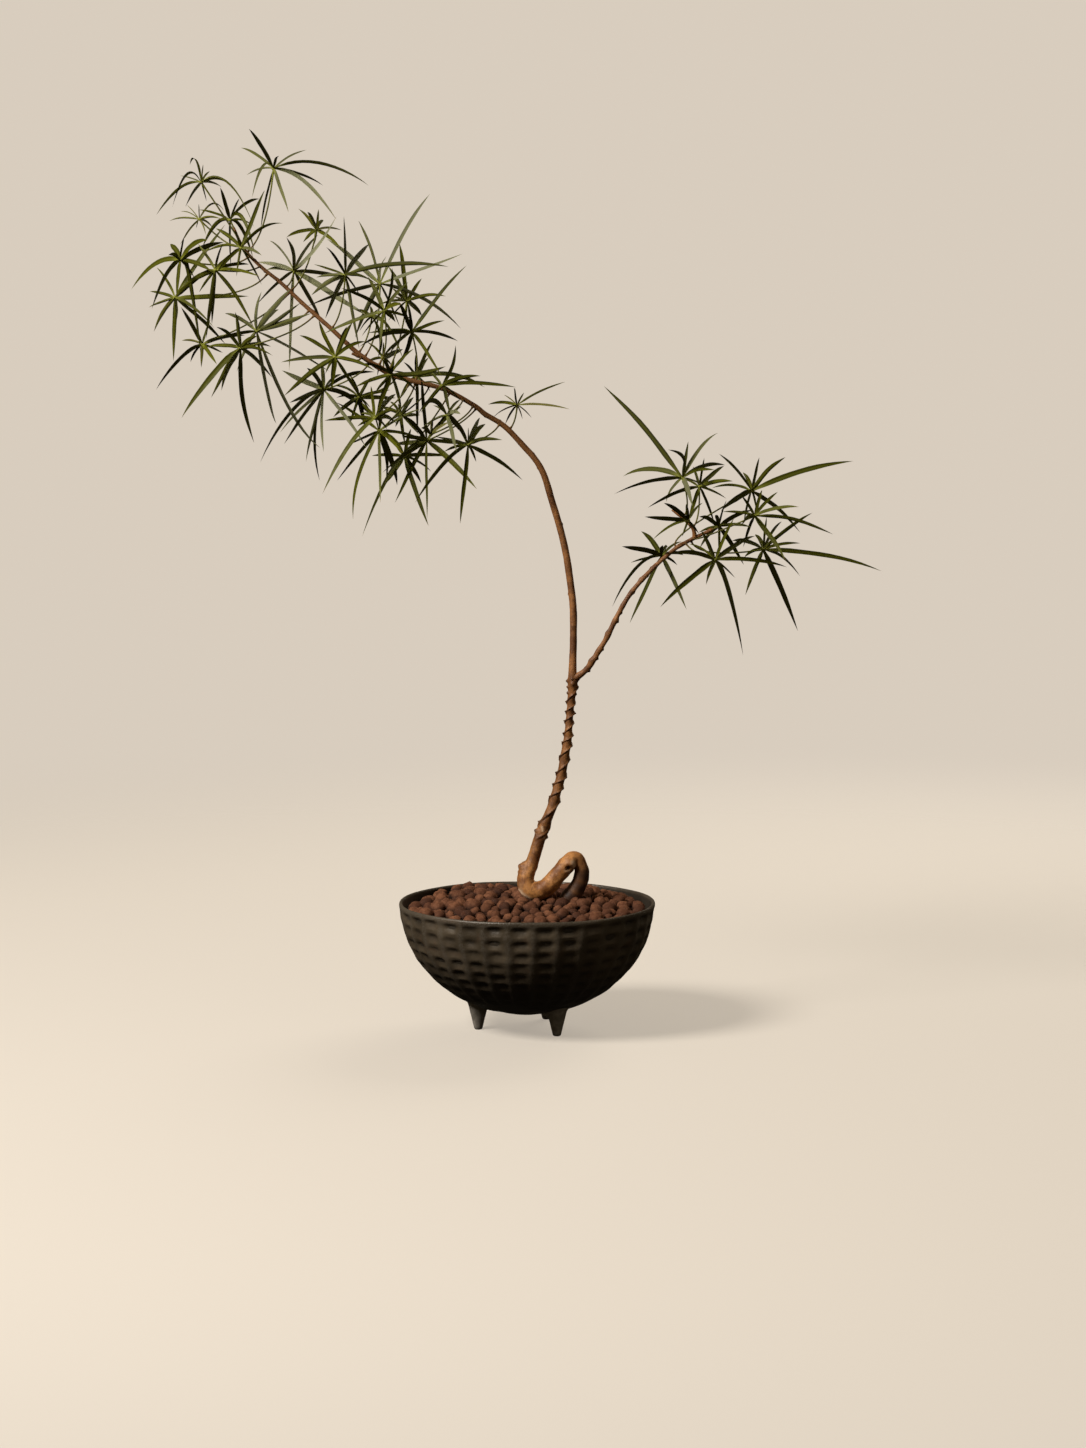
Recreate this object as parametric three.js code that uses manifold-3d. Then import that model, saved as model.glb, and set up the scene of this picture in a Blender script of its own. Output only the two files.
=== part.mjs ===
import * as THREE from 'three';
import { mergeVertices } from 'three/addons/utils/BufferGeometryUtils.js';
import Module from 'manifold-3d';

const wasm = await Module();
wasm.setup();

// Potted tree, millimetres, +Z up, front towards -Y. The bowl's axis stands left of centre of the crown.
const bowlCentreX = 23;
const rimRadius = 161;
const rimHeight = 159.5;
const bowlDepth = 140;
const wallThickness = 4.5;
const dentColumns = 32;
const dentRows = 7;
const dentDepth = 3;
const firstDentAngle = 4;
const lastDentAngle = 50;
const smoothBottomAngles = [60, 70, 80];
const innerWallAngles = [18, 36, 54, 72];
const lipProfile = [[0.7, 1.8], [2.3, 2.5], [3.9, 1.8], [wallThickness, 0]];

const footCircle = 62;
const footAngles = { foot_left: -173, foot_right: -53, foot_back: 67 };
const footProfile = [[0, 0], [4, 0], [5.3, 1.6], [10.8, 24], [14, 46], [0, 46]];
const footSides = 12;

const fitGap = 0.35;
const soilTop = 130;
const rootHoleRadius = 7.9;
const rootHoleSides = 12;
const rootEndHeight = 66;

const beddingEdgeTop = 143;
const beddingCentreTop = 157;
const pebbleRings = 6;
const pebbleRise = 10;
const pebbleClearance = 0.6;

const trunkSides = 9;
const lowWoodRings = 44;
const ridgePitch = 14.5;
const ridgeHeight = 2.1;
const ridgeBottom = 236;
const ridgeTop = 436;

const leafletWidth = 7.6;
const leafletThickness = 1.5;
const mediumLeaflet = 58;
const longLeaflet = 130;
const shortestWhorl = 72;
const longestDepth = 78;
const shortestDepth = 20;
const usualRise = 0.05;
const hiddenShare = 0.8;
const leastRoll = 0.65;
const rollRange = 0.7;
const hubRadius = 5.2;
const petioleRadius = 1.3;
const leafletClearance = 3.7;
const hubClearance = 6;
const viewpoint = [43, -4469, 912];

const bowlColour = 0x3a352f;
const footColour = 0x5a5855;
const soilColour = 0x2b211a;
const pebbleColour = 0x6b4535;
const woodColour = 0x8a5a30;
const leafColour = 0x4d5a2c;

// Centre lines of the woody parts: x, y, z and radius. The first runs from the root end in the soil over the
// arch, down to the elbow on the pebbles and up the stem to the junction.
const baseLine = [
  [73, 6, 66, 6.6], [73, 6, 95, 7.3], [73, 6, 125, 7.4], [73.5, 6, 150, 7.5], [76, 6, 163, 7.6],
  [82, 5, 172, 7.4], [88, 4, 183, 7.2], [91.5, 3, 195, 7.2], [91, 2, 206, 7.5], [86, 1, 216, 8],
  [79, -1, 216, 9.2], [71, -3, 207, 10.4], [63, -5, 198, 10.6], [55, -6, 188.5, 11], [46, -7, 180, 11.6],
  [35.5, -7, 176.5, 12], [25.5, -6, 179, 12], [21, -4, 189, 11.2], [24, -2, 200.5, 10], [31, -1, 217, 8.1],
  [38, 0, 240, 7.4], [43, 0, 254, 7], [54, 0, 281, 6.3], [60, 0, 301, 6], [66.5, 0, 325, 5.8],
  [71, 0, 351, 5.5], [74, 0, 369, 5.2], [77, 0, 404, 4.7], [79.5, 0, 430, 5.4], [80, 0, 441, 6.2],
];
const stemLine = [
  [80, 0, 436, 5.4], [80, 0, 457, 4.9], [81, 2, 498, 4.5], [80.5, 4, 533.5, 4.5], [76.5, 6, 569, 4.4],
  [70.5, 8, 605.5, 4.3], [63.5, 9, 634, 4.2], [54, 10, 665.5, 4.2], [44, 10, 698, 4], [33, 10, 717, 3.8],
  [18, 9, 734, 3.7], [0.5, 8, 753, 3.5], [-13, 7, 763.5, 3.3], [-29, 5, 773, 3.1], [-43, 3, 784, 3],
  [-80, -2, 804, 3], [-122, -6, 815, 3], [-149, -8, 824, 3], [-185, -8, 848, 2.9], [-218, -6, 878, 2.7],
  [-251, -2, 907, 2.5], [-280, 2, 934, 2.3], [-306, 6, 955, 2.1], [-326, 8, 976, 1.9], [-338, 10, 1000, 1.7],
];
const branchLine = [
  [80, 0, 444, 4.2], [91, -3, 450, 3.8], [101.5, -6, 461, 3.6], [112, -8, 478.5, 3.4], [122.5, -9, 496, 3.3],
  [136, -9, 524, 3.1], [150.5, -8, 549, 3], [168, -6, 570, 2.8], [185, -3, 587, 2.7], [206, 0, 605, 2.6],
  [220, 2, 613.5, 2.5], [237, 4, 622, 2.4], [253, 5, 629.5, 2.1],
];
const forkLine = [
  [232, 3, 620, 2.1], [229, 0, 632, 2], [216, -4, 645, 1.8], [203, -6, 655, 1.6],
];
const sprigLine = [
  [-146, -8, 823, 2.6], [-160, -14, 833, 2.2], [-178, -18, 842, 1.9], [-192, -22, 848, 1.7],
];

// Each leaf: its hub as sideways place, depth and height, then the leaflet tips as sideways and upward reach
// from the hub. Sideways and upward sizes hold on the stem's plane, as seen from the viewpoint. A third number
// is the leaflet's rise above its chord where it is not the usual one, and a fourth its bow to the right. An
// atTip leaf ends its stem.
const leftLeaves = [
  { hub: [-377, -30, 1057], tips: [[-14, 21, 17], [-36, -30, 24], [-56, -40, 12], [-20, -30], [36, -4, 7],
    [65, -56, 28], [25, -6]] },
  { hub: [-288, -6, 1074], tips: [[-30, 48], [-40, 25], [7, 15], [117, -21, 17], [77, -63, 15], [61, -21],
    [-27, -36, 20], [-17, -76], [18, -54]] },
  { hub: [-380, 46, 1012], tips: [[-37, -2], [-24, -31], [31, 10, 14], [28, 0], [17, -11], [8, -19],
    [-4, -11]] },
  { hub: [-342, 11, 1011], atTip: true, tips: [[-12, 40], [36, 26, 6], [-35, -34, 12], [0, -58],
    [30, -41, 24], [28, -47, 14]] },
  { hub: [-329, -36, 977], tips: [[30, 71], [52, 30, 9], [-31, 24], [-31, -31], [25, -45]] },
  { hub: [-404, -12, 962], tips: [[-36, -60, 11], [-61, -36, 14], [-5, -46], [25, -124, 40], [39, -14],
    [54, 22], [34, 25, 7], [-12, 20], [-15, 6]] },
  { hub: [-411, 28, 916], tips: [[-3, -78], [91, 2, 0], [63, 90, 2], [45, 35], [62, -57, 2], [48, -37],
    [-22, 37], [2, -26]] },
  { hub: [-361, -48, 950], tips: [[-40, -21], [-5, -67], [-12, -84], [47, -70, 5], [55, -8],
    [42, 7], [32, 26]] },
  { hub: [-331, -30, 854], tips: [[-41, 2], [-74, -86, 9], [-37, -61], [-24, -52, 0, -4], [16, -117, 0, -6],
    [-6, 45], [38, 2], [40, -9], [39, -36], [21, 15]] },
  { hub: [-378, 54, 859], tips: [[-58, -56, 9], [53, 11], [-26, 46], [-15, -22], [18, -25]] },
  { hub: [-311, -10, 875], tips: [[78, -144, -22], [7, 49, 0, -4], [-39, 22], [43, 52], [28, 27], [68, 22, 0],
    [91, -50, 2], [24, -114, -20], [-64, -14, 2], [55, 35, -2]] },
  { hub: [-264, 34, 949], tips: [[-9, 41, 0, 4], [30, 44, 4], [53, 67, -7], [-36, 0], [-46, -41], [63, -7, 1],
    [92, -56, 1], [34, -64, 0, 2], [-7, -123], [-45, 11, 2]] },
  { hub: [-201, -38, 944], tips: [[-1, 72], [-23, 34], [30, 38], [40, -12], [-42, -25], [-25, -54], [17, -92],
    [128, 10, 9]] },
  { hub: [-158, 24, 933], tips: [[62, 110, 9], [8, 34, 0, -4], [102, 37, -1], [100, -55, 12], [-65, 55, 2]] },
  { hub: [-236, 52, 999], tips: [[-22, 26], [-11, 22], [9, 12], [-37, -9], [30, -22]] },
  { hub: [-153, -42, 900], tips: [[10, 53, 0, 4], [-20, 42], [21, 8], [14, -14], [-53, 28], [-75, -28, 2]] },
  { hub: [-125, 40, 912], tips: [[-9, 72], [48, 6, 4], [19, -19], [-23, 43, 0, 2], [-18, 16, 0],
    [-17, 6, 0]] },
  { hub: [-119, -12, 874], tips: [[68, 82], [-5, 37], [-16, 37], [-55, -1, 2], [-65, -18, 6], [57, -11],
    [37, -55], [-20, -44, 0, 4], [-28, -27]] },
  { hub: [-214, -46, 843], tips: [[-44, 27], [-67, -6, 2], [-64, -48], [22, 43], [-20, 46, 0, -1], [50, -17],
    [45, -69, 0, -1], [-5, -41], [15, 38]] },
  { hub: [-228, 24, 803], tips: [[-43, -16, 1], [-52, 24, 0], [-80, -90, 20], [-55, -53, 4], [-1, -77, 0, -2],
    [-6, -113, 0, -9], [-23, -89, 0, -2], [57, -31, 9], [52, -72], [22, 19], [-50, -67, 2], [63, 22, 7],
    [-21, 27], [-2, 32]] },
  { hub: [-165, -28, 768], tips: [[-63, -3, 2], [-66, -94, 12], [26, 30], [28, 9, 4], [27, -7, 5], [-5, 40],
    [-17, 20, 0]] },
  { hub: [-101, 28, 740], tips: [[0, -98], [-40, -77, 2], [62, -60, 4], [-42, -4, -1], [-32, 32],
    [-81, -119, 27], [-31, 6, 1]] },
  { hub: [-50, -32, 735], tips: [[22, 26], [43, 6], [68, -44], [-10, -98], [-66, -72, 10], [-40, 10, 1],
    [15, 34]] },
  { hub: [-76, -60, 772], tips: [[12, -45], [25, -29], [17, 1], [-12, -19], [-36, 0, 17]] },
  { hub: [-145, -36, 822], tips: [[-45, -16, 2], [-18, -50], [13, -46], [68, 10, -4], [-10, 18], [4, 20]] },
  { hub: [-113, 32, 818], tips: [[-1, 30], [20, 46], [84, -12, 10], [1, -71], [-21, -24, 5], [15, 25]] },
  { hub: [-82, -32, 808], tips: [[17, 50, 0, 4], [48, 12], [92, -2], [10, -36]] },
  { hub: [11, 20, 784], tips: [[-4, 21], [60, 29], [65, -5], [-36, 1], [-30, -15], [-15, -24]] },
  { hub: [-185, 50, 794], tips: [[-32, -25, 2], [39, 9, 1], [7, -38], [-12, 30], [46, -1, 0], [16, 24]] },
  { hub: [-129, 54, 721], tips: [[30, -87, 0, -1], [21, -34], [-27, -37, 0], [-25, 31], [58, 0, 2]] },
  { hub: [-133, 52, 772], tips: [[-25, 9, 2], [22, -24], [5, -38], [16, 22], [24, 0, 0]] },
  { hub: [-168, 6, 893], tips: [[-16, -18, 2], [39, -55, 15], [-17, 9, 0], [7, -50, 0, 6], [15, -8]] },
  { hub: [-155, 24, 842], tips: [[25, 11, 0], [29, 26, 4], [-19, 20, 2], [-7, -22]] },
  { hub: [-160, 14, 752], tips: [[-53, -62, 2], [-33, -110, 0, -9], [1, -89], [22, -67, 0, 4], [-39, -18, 1],
    [8, -63, 0, 5], [28, -27]] },
  { hub: [-96, -30, 748], tips: [[-12, 8], [2, 19], [23, 15]] },
];
const rightLeaves = [
  { hub: [216, -22, 694], tips: [[-98, 114], [-74, 2, 11], [-85, -20, 5], [-20, -30, 0, -4], [13, -35],
    [44, 56, 9], [-18, 35, 7, 10], [53, 16, 7], [40, 10]] },
  { hub: [237, 30, 683], tips: [[31, 26], [42, 7], [-64, -26, 4], [-13, -42], [19, -45]] },
  { hub: [262, 6, 634], atTip: true, tips: [[40, -1], [41, 20], [-25, 12], [31, -48], [-5, 14]] },
  { hub: [257, -34, 592], tips: [[36, -120, 20], [-68, -59], [90, -9], [-57, 8], [50, 30], [-11, -31]] },
  { hub: [191, 28, 597], tips: [[-50, 12, 2], [-26, 31], [-62, -64, 19], [-40, -84], [31, -67], [27, 1],
    [-1, 12], [7, 12]] },
  { hub: [302, 20, 678], tips: [[126, 37], [42, 42], [-11, 23], [-41, 46], [61, -52], [-38, -25]] },
  { hub: [306, -28, 647], tips: [[55, 11], [98, -23, 6], [-17, -13], [-14, -39], [39, -56]] },
  { hub: [317, 30, 605], tips: [[148, -27], [61, 46], [-22, -57], [44, -102], [-24, -10], [-39, 11],
    [-10, 19]] },
  { hub: [223, -40, 641], tips: [[-54, 5, 0], [-44, -24, 5], [-30, 22], [-2, 21]] },
];

// Shared geometry helpers

function vector(values) {
  return new THREE.Vector3(values[0], values[1], values[2]);
}

function solidFrom(points, faces) {
  const positions = [];
  for (const point of points) {
    positions.push(point.x, point.y, point.z);
  }
  let volume = 0;
  for (const [a, b, c] of faces) {
    volume += points[a].dot(points[b].clone().cross(points[c]));
  }
  const index = volume < 0 ? faces.map(([a, b, c]) => [a, c, b]) : faces;
  const geometry = new THREE.BufferGeometry();
  geometry.setAttribute('position', new THREE.Float32BufferAttribute(positions, 3));
  geometry.setIndex(index.flat());
  return geometry;
}

// Closed surface through rings of equal point count; an end is closed by a point or, without one, flat.
function skin(rings, startPoint, endPoint) {
  const sides = rings[0].length;
  const points = rings.flat();
  const faces = [];
  for (let ring = 0; ring < rings.length - 1; ring += 1) {
    for (let side = 0; side < sides; side += 1) {
      const a = ring * sides + side;
      const b = ring * sides + ((side + 1) % sides);
      faces.push([a, b, b + sides], [a, b + sides, a + sides]);
    }
  }
  const last = (rings.length - 1) * sides;
  const closeEnd = (offset, point, reversed) => {
    const centre = points.length;
    if (point) {
      points.push(point);
    }
    for (let side = 0; side < sides; side += 1) {
      const a = offset + side;
      const b = offset + ((side + 1) % sides);
      if (point) {
        faces.push(reversed ? [centre, b, a] : [centre, a, b]);
      } else if (side > 0 && side < sides - 1) {
        faces.push(reversed ? [offset, b, a] : [offset, a, b]);
      }
    }
  };
  closeEnd(0, startPoint, true);
  closeEnd(last, endPoint, false);
  return solidFrom(points, faces);
}

function toSolid(geometry) {
  const merged = mergeVertices(geometry, 1e-5);
  return new wasm.Manifold(new wasm.Mesh({
    numProp: 3,
    vertProperties: new Float32Array(merged.attributes.position.array),
    triVerts: new Uint32Array(merged.index.array),
  }));
}

function join(geometries) {
  let solid = toSolid(geometries[0]);
  for (const geometry of geometries.slice(1)) {
    solid = solid.add(toSolid(geometry));
  }
  return solid;
}

function toGeometry(solid) {
  const mesh = solid.getMesh();
  const geometry = new THREE.BufferGeometry();
  geometry.setAttribute('position', new THREE.Float32BufferAttribute(mesh.vertProperties, 3));
  geometry.setIndex(Array.from(mesh.triVerts));
  return mergeVertices(geometry, 2e-3);
}

// The largest piece of a fused solid; loose scraps are dropped.
function largestPiece(solid) {
  const pieces = solid.decompose();
  let largest = pieces[0];
  for (const piece of pieces) {
    if (piece.volume() > largest.volume()) {
      largest = piece;
    }
  }
  return largest;
}

function seededRandom(seed) {
  let state = seed;
  return () => {
    state = (Math.imul(state, 1664525) + 1013904223) >>> 0;
    return state / 4294967296;
  };
}

// Smooth line through the listed points, each x, y, z and radius.
function smoothLine(line, stepsBetween) {
  const result = [];
  for (let index = 0; index < line.length - 1; index += 1) {
    const before = line[Math.max(index - 1, 0)];
    const from = line[index];
    const to = line[index + 1];
    const after = line[Math.min(index + 2, line.length - 1)];
    for (let step = 0; step < stepsBetween; step += 1) {
      const t = step / stepsBetween;
      result.push(from.map((value, axis) => 0.5 * (2 * value + (to[axis] - before[axis]) * t
        + (2 * before[axis] - 5 * value + 4 * to[axis] - after[axis]) * t * t
        + (3 * value - before[axis] - 3 * to[axis] + after[axis]) * t * t * t)));
    }
  }
  result.push(line[line.length - 1]);
  return result;
}

function distanceBetween(a, b) {
  return Math.hypot(a[0] - b[0], a[1] - b[1], a[2] - b[2]);
}

// Points of a dense line at the spacing that spacingAt gives for each height.
function respaced(line, spacingAt) {
  const result = [line[0]];
  for (const point of line.slice(1, -1)) {
    if (distanceBetween(point, result[result.length - 1]) >= spacingAt(point[2])) {
      result.push(point);
    }
  }
  result.push(line[line.length - 1]);
  return result;
}

// Tube along a line that never runs front to back, so that angle zero always faces the front.
function stemTube(line, sides, radiusOffset, relief) {
  const rings = line.map((entry, index) => {
    const before = vector(line[Math.max(index - 1, 0)]);
    const after = vector(line[Math.min(index + 1, line.length - 1)]);
    const along = after.sub(before).normalize();
    const front = new THREE.Vector3(0, -1, 0);
    front.addScaledVector(along, -front.dot(along)).normalize();
    const side = new THREE.Vector3().crossVectors(along, front);
    const ring = [];
    for (let step = 0; step < sides; step += 1) {
      const angle = (2 * Math.PI * (step + (index % 2) * 0.5)) / sides;
      const radius = entry[3] + radiusOffset + (relief ? relief(angle, entry) : 0);
      ring.push(vector(entry).addScaledVector(front, Math.cos(angle) * radius)
        .addScaledVector(side, Math.sin(angle) * radius));
    }
    return ring;
  });
  return skin(rings);
}

// Planter bowl

function bowlPoint(dropAngle, aroundAngle, inset) {
  const drop = (dropAngle * Math.PI) / 180;
  const around = (aroundAngle * Math.PI) / 180;
  const radius = (rimRadius - inset) * Math.cos(drop);
  return new THREE.Vector3(bowlCentreX + radius * Math.cos(around), radius * Math.sin(around),
    rimHeight - (bowlDepth - inset) * Math.sin(drop));
}

function bowlRing(dropAngle, inset, heightShift) {
  const ring = [];
  for (let column = 0; column < dentColumns; column += 1) {
    const point = bowlPoint(dropAngle, (360 * column) / dentColumns, inset);
    point.z += heightShift;
    ring.push(point);
  }
  return ring;
}

// One dent is a trough between two ribs: a level valley line sunk into the wall, with four sloping sides.
function makeBowl() {
  const columns = dentColumns;
  const points = [];
  const faces = [];
  const addRing = (ring) => {
    const start = points.length;
    points.push(...ring);
    return start;
  };
  const bridge = (upper, lower) => {
    for (let column = 0; column < columns; column += 1) {
      const next = (column + 1) % columns;
      faces.push([upper + column, lower + column, lower + next], [upper + column, lower + next, upper + next]);
    }
  };
  const fan = (ring, centre) => {
    for (let column = 0; column < columns; column += 1) {
      faces.push([ring + column, centre, ring + ((column + 1) % columns)]);
    }
  };
  let upper = addRing(bowlRing(0, 0, 0));
  const rimStart = upper;
  const rowStep = (lastDentAngle - firstDentAngle) / dentRows;
  let ring = addRing(bowlRing(firstDentAngle, 0, 0));
  bridge(upper, ring);
  upper = ring;
  for (let row = 0; row < dentRows; row += 1) {
    const top = firstDentAngle + rowStep * row;
    ring = addRing(bowlRing(top + rowStep, 0, 0));
    for (let column = 0; column < columns; column += 1) {
      const next = (column + 1) % columns;
      const left = points.length;
      points.push(bowlPoint(top + rowStep * 0.45, (360 * (column + 0.2)) / columns, dentDepth));
      points.push(bowlPoint(top + rowStep * 0.45, (360 * (column + 0.8)) / columns, dentDepth));
      const right = left + 1;
      faces.push([upper + column, left, right], [upper + column, right, upper + next]);
      faces.push([ring + column, ring + next, right], [ring + column, right, left]);
      faces.push([upper + column, ring + column, left], [upper + next, right, ring + next]);
    }
    upper = ring;
  }
  for (const angle of smoothBottomAngles) {
    ring = addRing(bowlRing(angle, 0, 0));
    bridge(upper, ring);
    upper = ring;
  }
  points.push(bowlPoint(90, 0, 0));
  fan(upper, points.length - 1);
  // Lip and inner wall, from the outer rim over the top and down to the inner pole
  upper = rimStart;
  for (const [inset, rise] of lipProfile) {
    ring = addRing(bowlRing(0, inset, rise));
    bridge(ring, upper);
    upper = ring;
  }
  for (const angle of innerWallAngles) {
    ring = addRing(bowlRing(angle, wallThickness, 0));
    bridge(ring, upper);
    upper = ring;
  }
  points.push(bowlPoint(90, 0, wallThickness));
  const pole = points.length - 1;
  for (let column = 0; column < columns; column += 1) {
    faces.push([upper + column, upper + ((column + 1) % columns), pole]);
  }
  return solidFrom(points, faces);
}

// Smooth lower body of the bowl, used to shape what touches it.
function bowlBody(inset, heightShift) {
  const rings = [0, lastDentAngle, ...smoothBottomAngles].map((angle) => bowlRing(angle, inset, heightShift));
  const pole = bowlPoint(90, 0, inset);
  pole.z += heightShift;
  return skin(rings, null, pole);
}

function makeFoot(angleDegrees) {
  const angle = (angleDegrees * Math.PI) / 180;
  const profile = footProfile.map(([radius, height]) => new THREE.Vector2(radius, height));
  const cone = new THREE.LatheGeometry(profile, footSides);
  cone.deleteAttribute('normal');
  cone.deleteAttribute('uv');
  cone.rotateX(Math.PI / 2);
  cone.translate(bowlCentreX + footCircle * Math.cos(angle), footCircle * Math.sin(angle), 0);
  const merged = mergeVertices(cone, 1e-4);
  return toGeometry(largestPiece(toSolid(merged).subtract(toSolid(bowlBody(0, -fitGap)))));
}

// Soil with a plain hole for the root

const soilInset = wallThickness + fitGap + 0.1;

// Radius and height on the upper inner wall, between its rim ring and the next ring down
function wallRadiusAt(height) {
  const top = bowlRing(0, soilInset, 0)[0];
  const below = bowlRing(innerWallAngles[0], soilInset, 0)[0];
  const share = (top.z - height) / (top.z - below.z);
  return top.x + (below.x - top.x) * share - bowlCentreX;
}

function levelRing(radius, height) {
  const ring = [];
  for (let step = 0; step < dentColumns; step += 1) {
    const angle = (2 * Math.PI * step) / dentColumns;
    ring.push(new THREE.Vector3(bowlCentreX + radius * Math.cos(angle), radius * Math.sin(angle), height));
  }
  return ring;
}

function makeSoil() {
  const top = levelRing(wallRadiusAt(soilTop), soilTop);
  const rings = [top, ...innerWallAngles.map((angle) => bowlRing(angle, soilInset, 0))];
  const body = skin(rings, null, bowlPoint(90, 0, soilInset));
  const holeLength = 2 * (soilTop - rootEndHeight);
  const hole = new THREE.CylinderGeometry(rootHoleRadius, rootHoleRadius, holeLength, rootHoleSides);
  hole.deleteAttribute('normal');
  hole.deleteAttribute('uv');
  hole.rotateX(Math.PI / 2);
  hole.translate(baseLine[0][0], baseLine[0][1], rootEndHeight - fitGap + holeLength / 2);
  return toGeometry(toSolid(body).subtract(toSolid(mergeVertices(hole, 1e-4))));
}

// Top dressing: one mounded layer whose surface is packed pebbles in rings, cut clear of the wood. Ring k holds
// 6k pebbles, so that every pebble meets its neighbours at six low corners.

function beddingHeight(radius) {
  const share = Math.min(radius / 150, 1);
  return beddingCentreTop - (beddingCentreTop - beddingEdgeTop) * share * share;
}

function makePebbles() {
  const random = seededRandom(51);
  const borderRing = pebbleRings + 1;
  const borderRadius = wallRadiusAt(beddingEdgeTop) * Math.cos(Math.PI / dentColumns) - 0.1;
  const footRadius = wallRadiusAt(soilTop + fitGap) * Math.cos(Math.PI / dentColumns) - 0.1;
  const pitch = borderRadius / borderRing;
  const centres = [];
  for (let ring = 0; ring <= borderRing; ring += 1) {
    const cells = [];
    for (let step = 0; step < Math.max(6 * ring, 1); step += 1) {
      const loose = ring > 0 && ring < borderRing ? 1 : 0;
      const angle = ring === 0 ? 0 : (2 * Math.PI * (step + loose * (random() - 0.5) * 0.42)) / (6 * ring);
      const radius = ring * pitch + loose * (random() - 0.5) * pitch * 0.34;
      cells.push(new THREE.Vector3(bowlCentreX + radius * Math.cos(angle), radius * Math.sin(angle),
        ring === borderRing ? beddingEdgeTop : beddingHeight(radius)));
    }
    centres.push(cells);
  }
  // Corner points lie between each three neighbouring centres.
  const corners = new Map();
  const addCorner = (...keys) => {
    const point = new THREE.Vector3();
    keys.forEach(([ring, step]) => point.addScaledVector(centres[ring][step], 1 / 3));
    point.z -= 1 + 2 * random();
    keys.forEach(([ring, step]) => {
      const key = `${ring} ${step}`;
      corners.set(key, [...(corners.get(key) || []), point]);
    });
    return point;
  };
  const borderEdges = [];
  for (let ring = 0; ring <= pebbleRings; ring += 1) {
    const outer = 6 * (ring + 1);
    const inner = Math.max(6 * ring, 1);
    for (let side = 0; side < 6; side += 1) {
      for (let step = 0; step <= ring; step += 1) {
        const insideKey = [ring, (side * ring + step) % inner];
        const outerKey = [ring + 1, side * (ring + 1) + step];
        const nextOuterKey = [ring + 1, (side * (ring + 1) + step + 1) % outer];
        const corner = addCorner(insideKey, outerKey, nextOuterKey);
        if (ring === pebbleRings) {
          borderEdges.push([outerKey[1], nextOuterKey[1], corner]);
        }
        if (step < ring) {
          addCorner(insideKey, nextOuterKey, [ring, (side * ring + step + 1) % inner]);
        }
      }
    }
  }
  const points = [];
  const indexOf = new Map();
  const add = (point) => {
    if (!indexOf.has(point)) {
      indexOf.set(point, points.length);
      points.push(point);
    }
    return indexOf.get(point);
  };
  const faces = [];
  const around = (centre, key) => {
    const turn = (corner) => Math.atan2(corner.y - centre.y, corner.x - centre.x);
    return corners.get(key).slice().sort((p, q) => turn(p) - turn(q));
  };
  for (let ring = 0; ring <= pebbleRings; ring += 1) {
    centres[ring].forEach((centre, step) => {
      const rim = around(centre, `${ring} ${step}`);
      const rise = pebbleRise * (0.75 + 0.5 * random());
      const lean = new THREE.Vector3((random() - 0.5) * 5, (random() - 0.5) * 5, 0);
      const shoulder = rim.map((corner) => {
        const share = 0.66 + 0.14 * random();
        const point = centre.clone().lerp(corner, share);
        point.z = centre.z + rise * (0.5 + 0.18 * random());
        return point;
      });
      const top = add(centre.clone().add(lean).setZ(centre.z + rise));
      rim.forEach((corner, index) => {
        const next = (index + 1) % rim.length;
        const a = add(corner);
        const b = add(rim[next]);
        const c = add(shoulder[index]);
        const d = add(shoulder[next]);
        faces.push([a, b, d], [a, d, c], [c, d, top]);
      });
    });
  }
  // Strip from the outer corners to the wall, then the side and the underside
  const border = centres[borderRing];
  border.forEach((point, step) => {
    const own = corners.get(`${borderRing} ${step}`);
    const angle = Math.atan2(point.y, point.x - bowlCentreX);
    const turnFrom = (corner) => {
      const difference = Math.atan2(corner.y, corner.x - bowlCentreX) - angle;
      return Math.atan2(Math.sin(difference), Math.cos(difference));
    };
    const sorted = own.slice().sort((p, q) => turnFrom(p) - turnFrom(q));
    for (let index = 0; index < sorted.length - 1; index += 1) {
      faces.push([add(sorted[index]), add(point), add(sorted[index + 1])]);
    }
  });
  const low = border.map((point) => {
    const direction = new THREE.Vector3(point.x - bowlCentreX, point.y, 0).normalize();
    return new THREE.Vector3(bowlCentreX, 0, soilTop + fitGap).addScaledVector(direction, footRadius);
  });
  const base = add(new THREE.Vector3(bowlCentreX, 0, soilTop + fitGap));
  for (const [from, to, corner] of borderEdges) {
    faces.push([add(corner), add(border[from]), add(border[to])]);
    faces.push([add(border[from]), add(low[from]), add(low[to])]);
    faces.push([add(border[from]), add(low[to]), add(border[to])]);
    faces.push([add(low[from]), base, add(low[to])]);
  }
  const layer = toSolid(solidFrom(points, faces));
  const lowWood = baseTubeLine().slice(0, lowWoodRings);
  const clearance = stemTube(lowWood, trunkSides, pebbleClearance);
  return toGeometry(largestPiece(layer.subtract(toSolid(clearance))));
}

// Wood

function ridgeRelief(angle, entry) {
  const height = entry[2];
  if (height < ridgeBottom || height > ridgeTop || entry[0] > 90) {
    return 0;
  }
  const fade = Math.min(1, (height - ridgeBottom) / 12, (ridgeTop - height) / 12);
  const phase = angle - (2 * Math.PI * height) / ridgePitch;
  const crest = Math.max(0, Math.cos(phase));
  return fade * ridgeHeight * (crest * crest - 0.15);
}

function baseTubeLine() {
  const dense = smoothLine(baseLine, 12);
  return respaced(dense, (height) => {
    if (height < 140) {
      return 24;
    }
    return height < ridgeBottom ? 8.5 : 3.7;
  });
}

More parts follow.
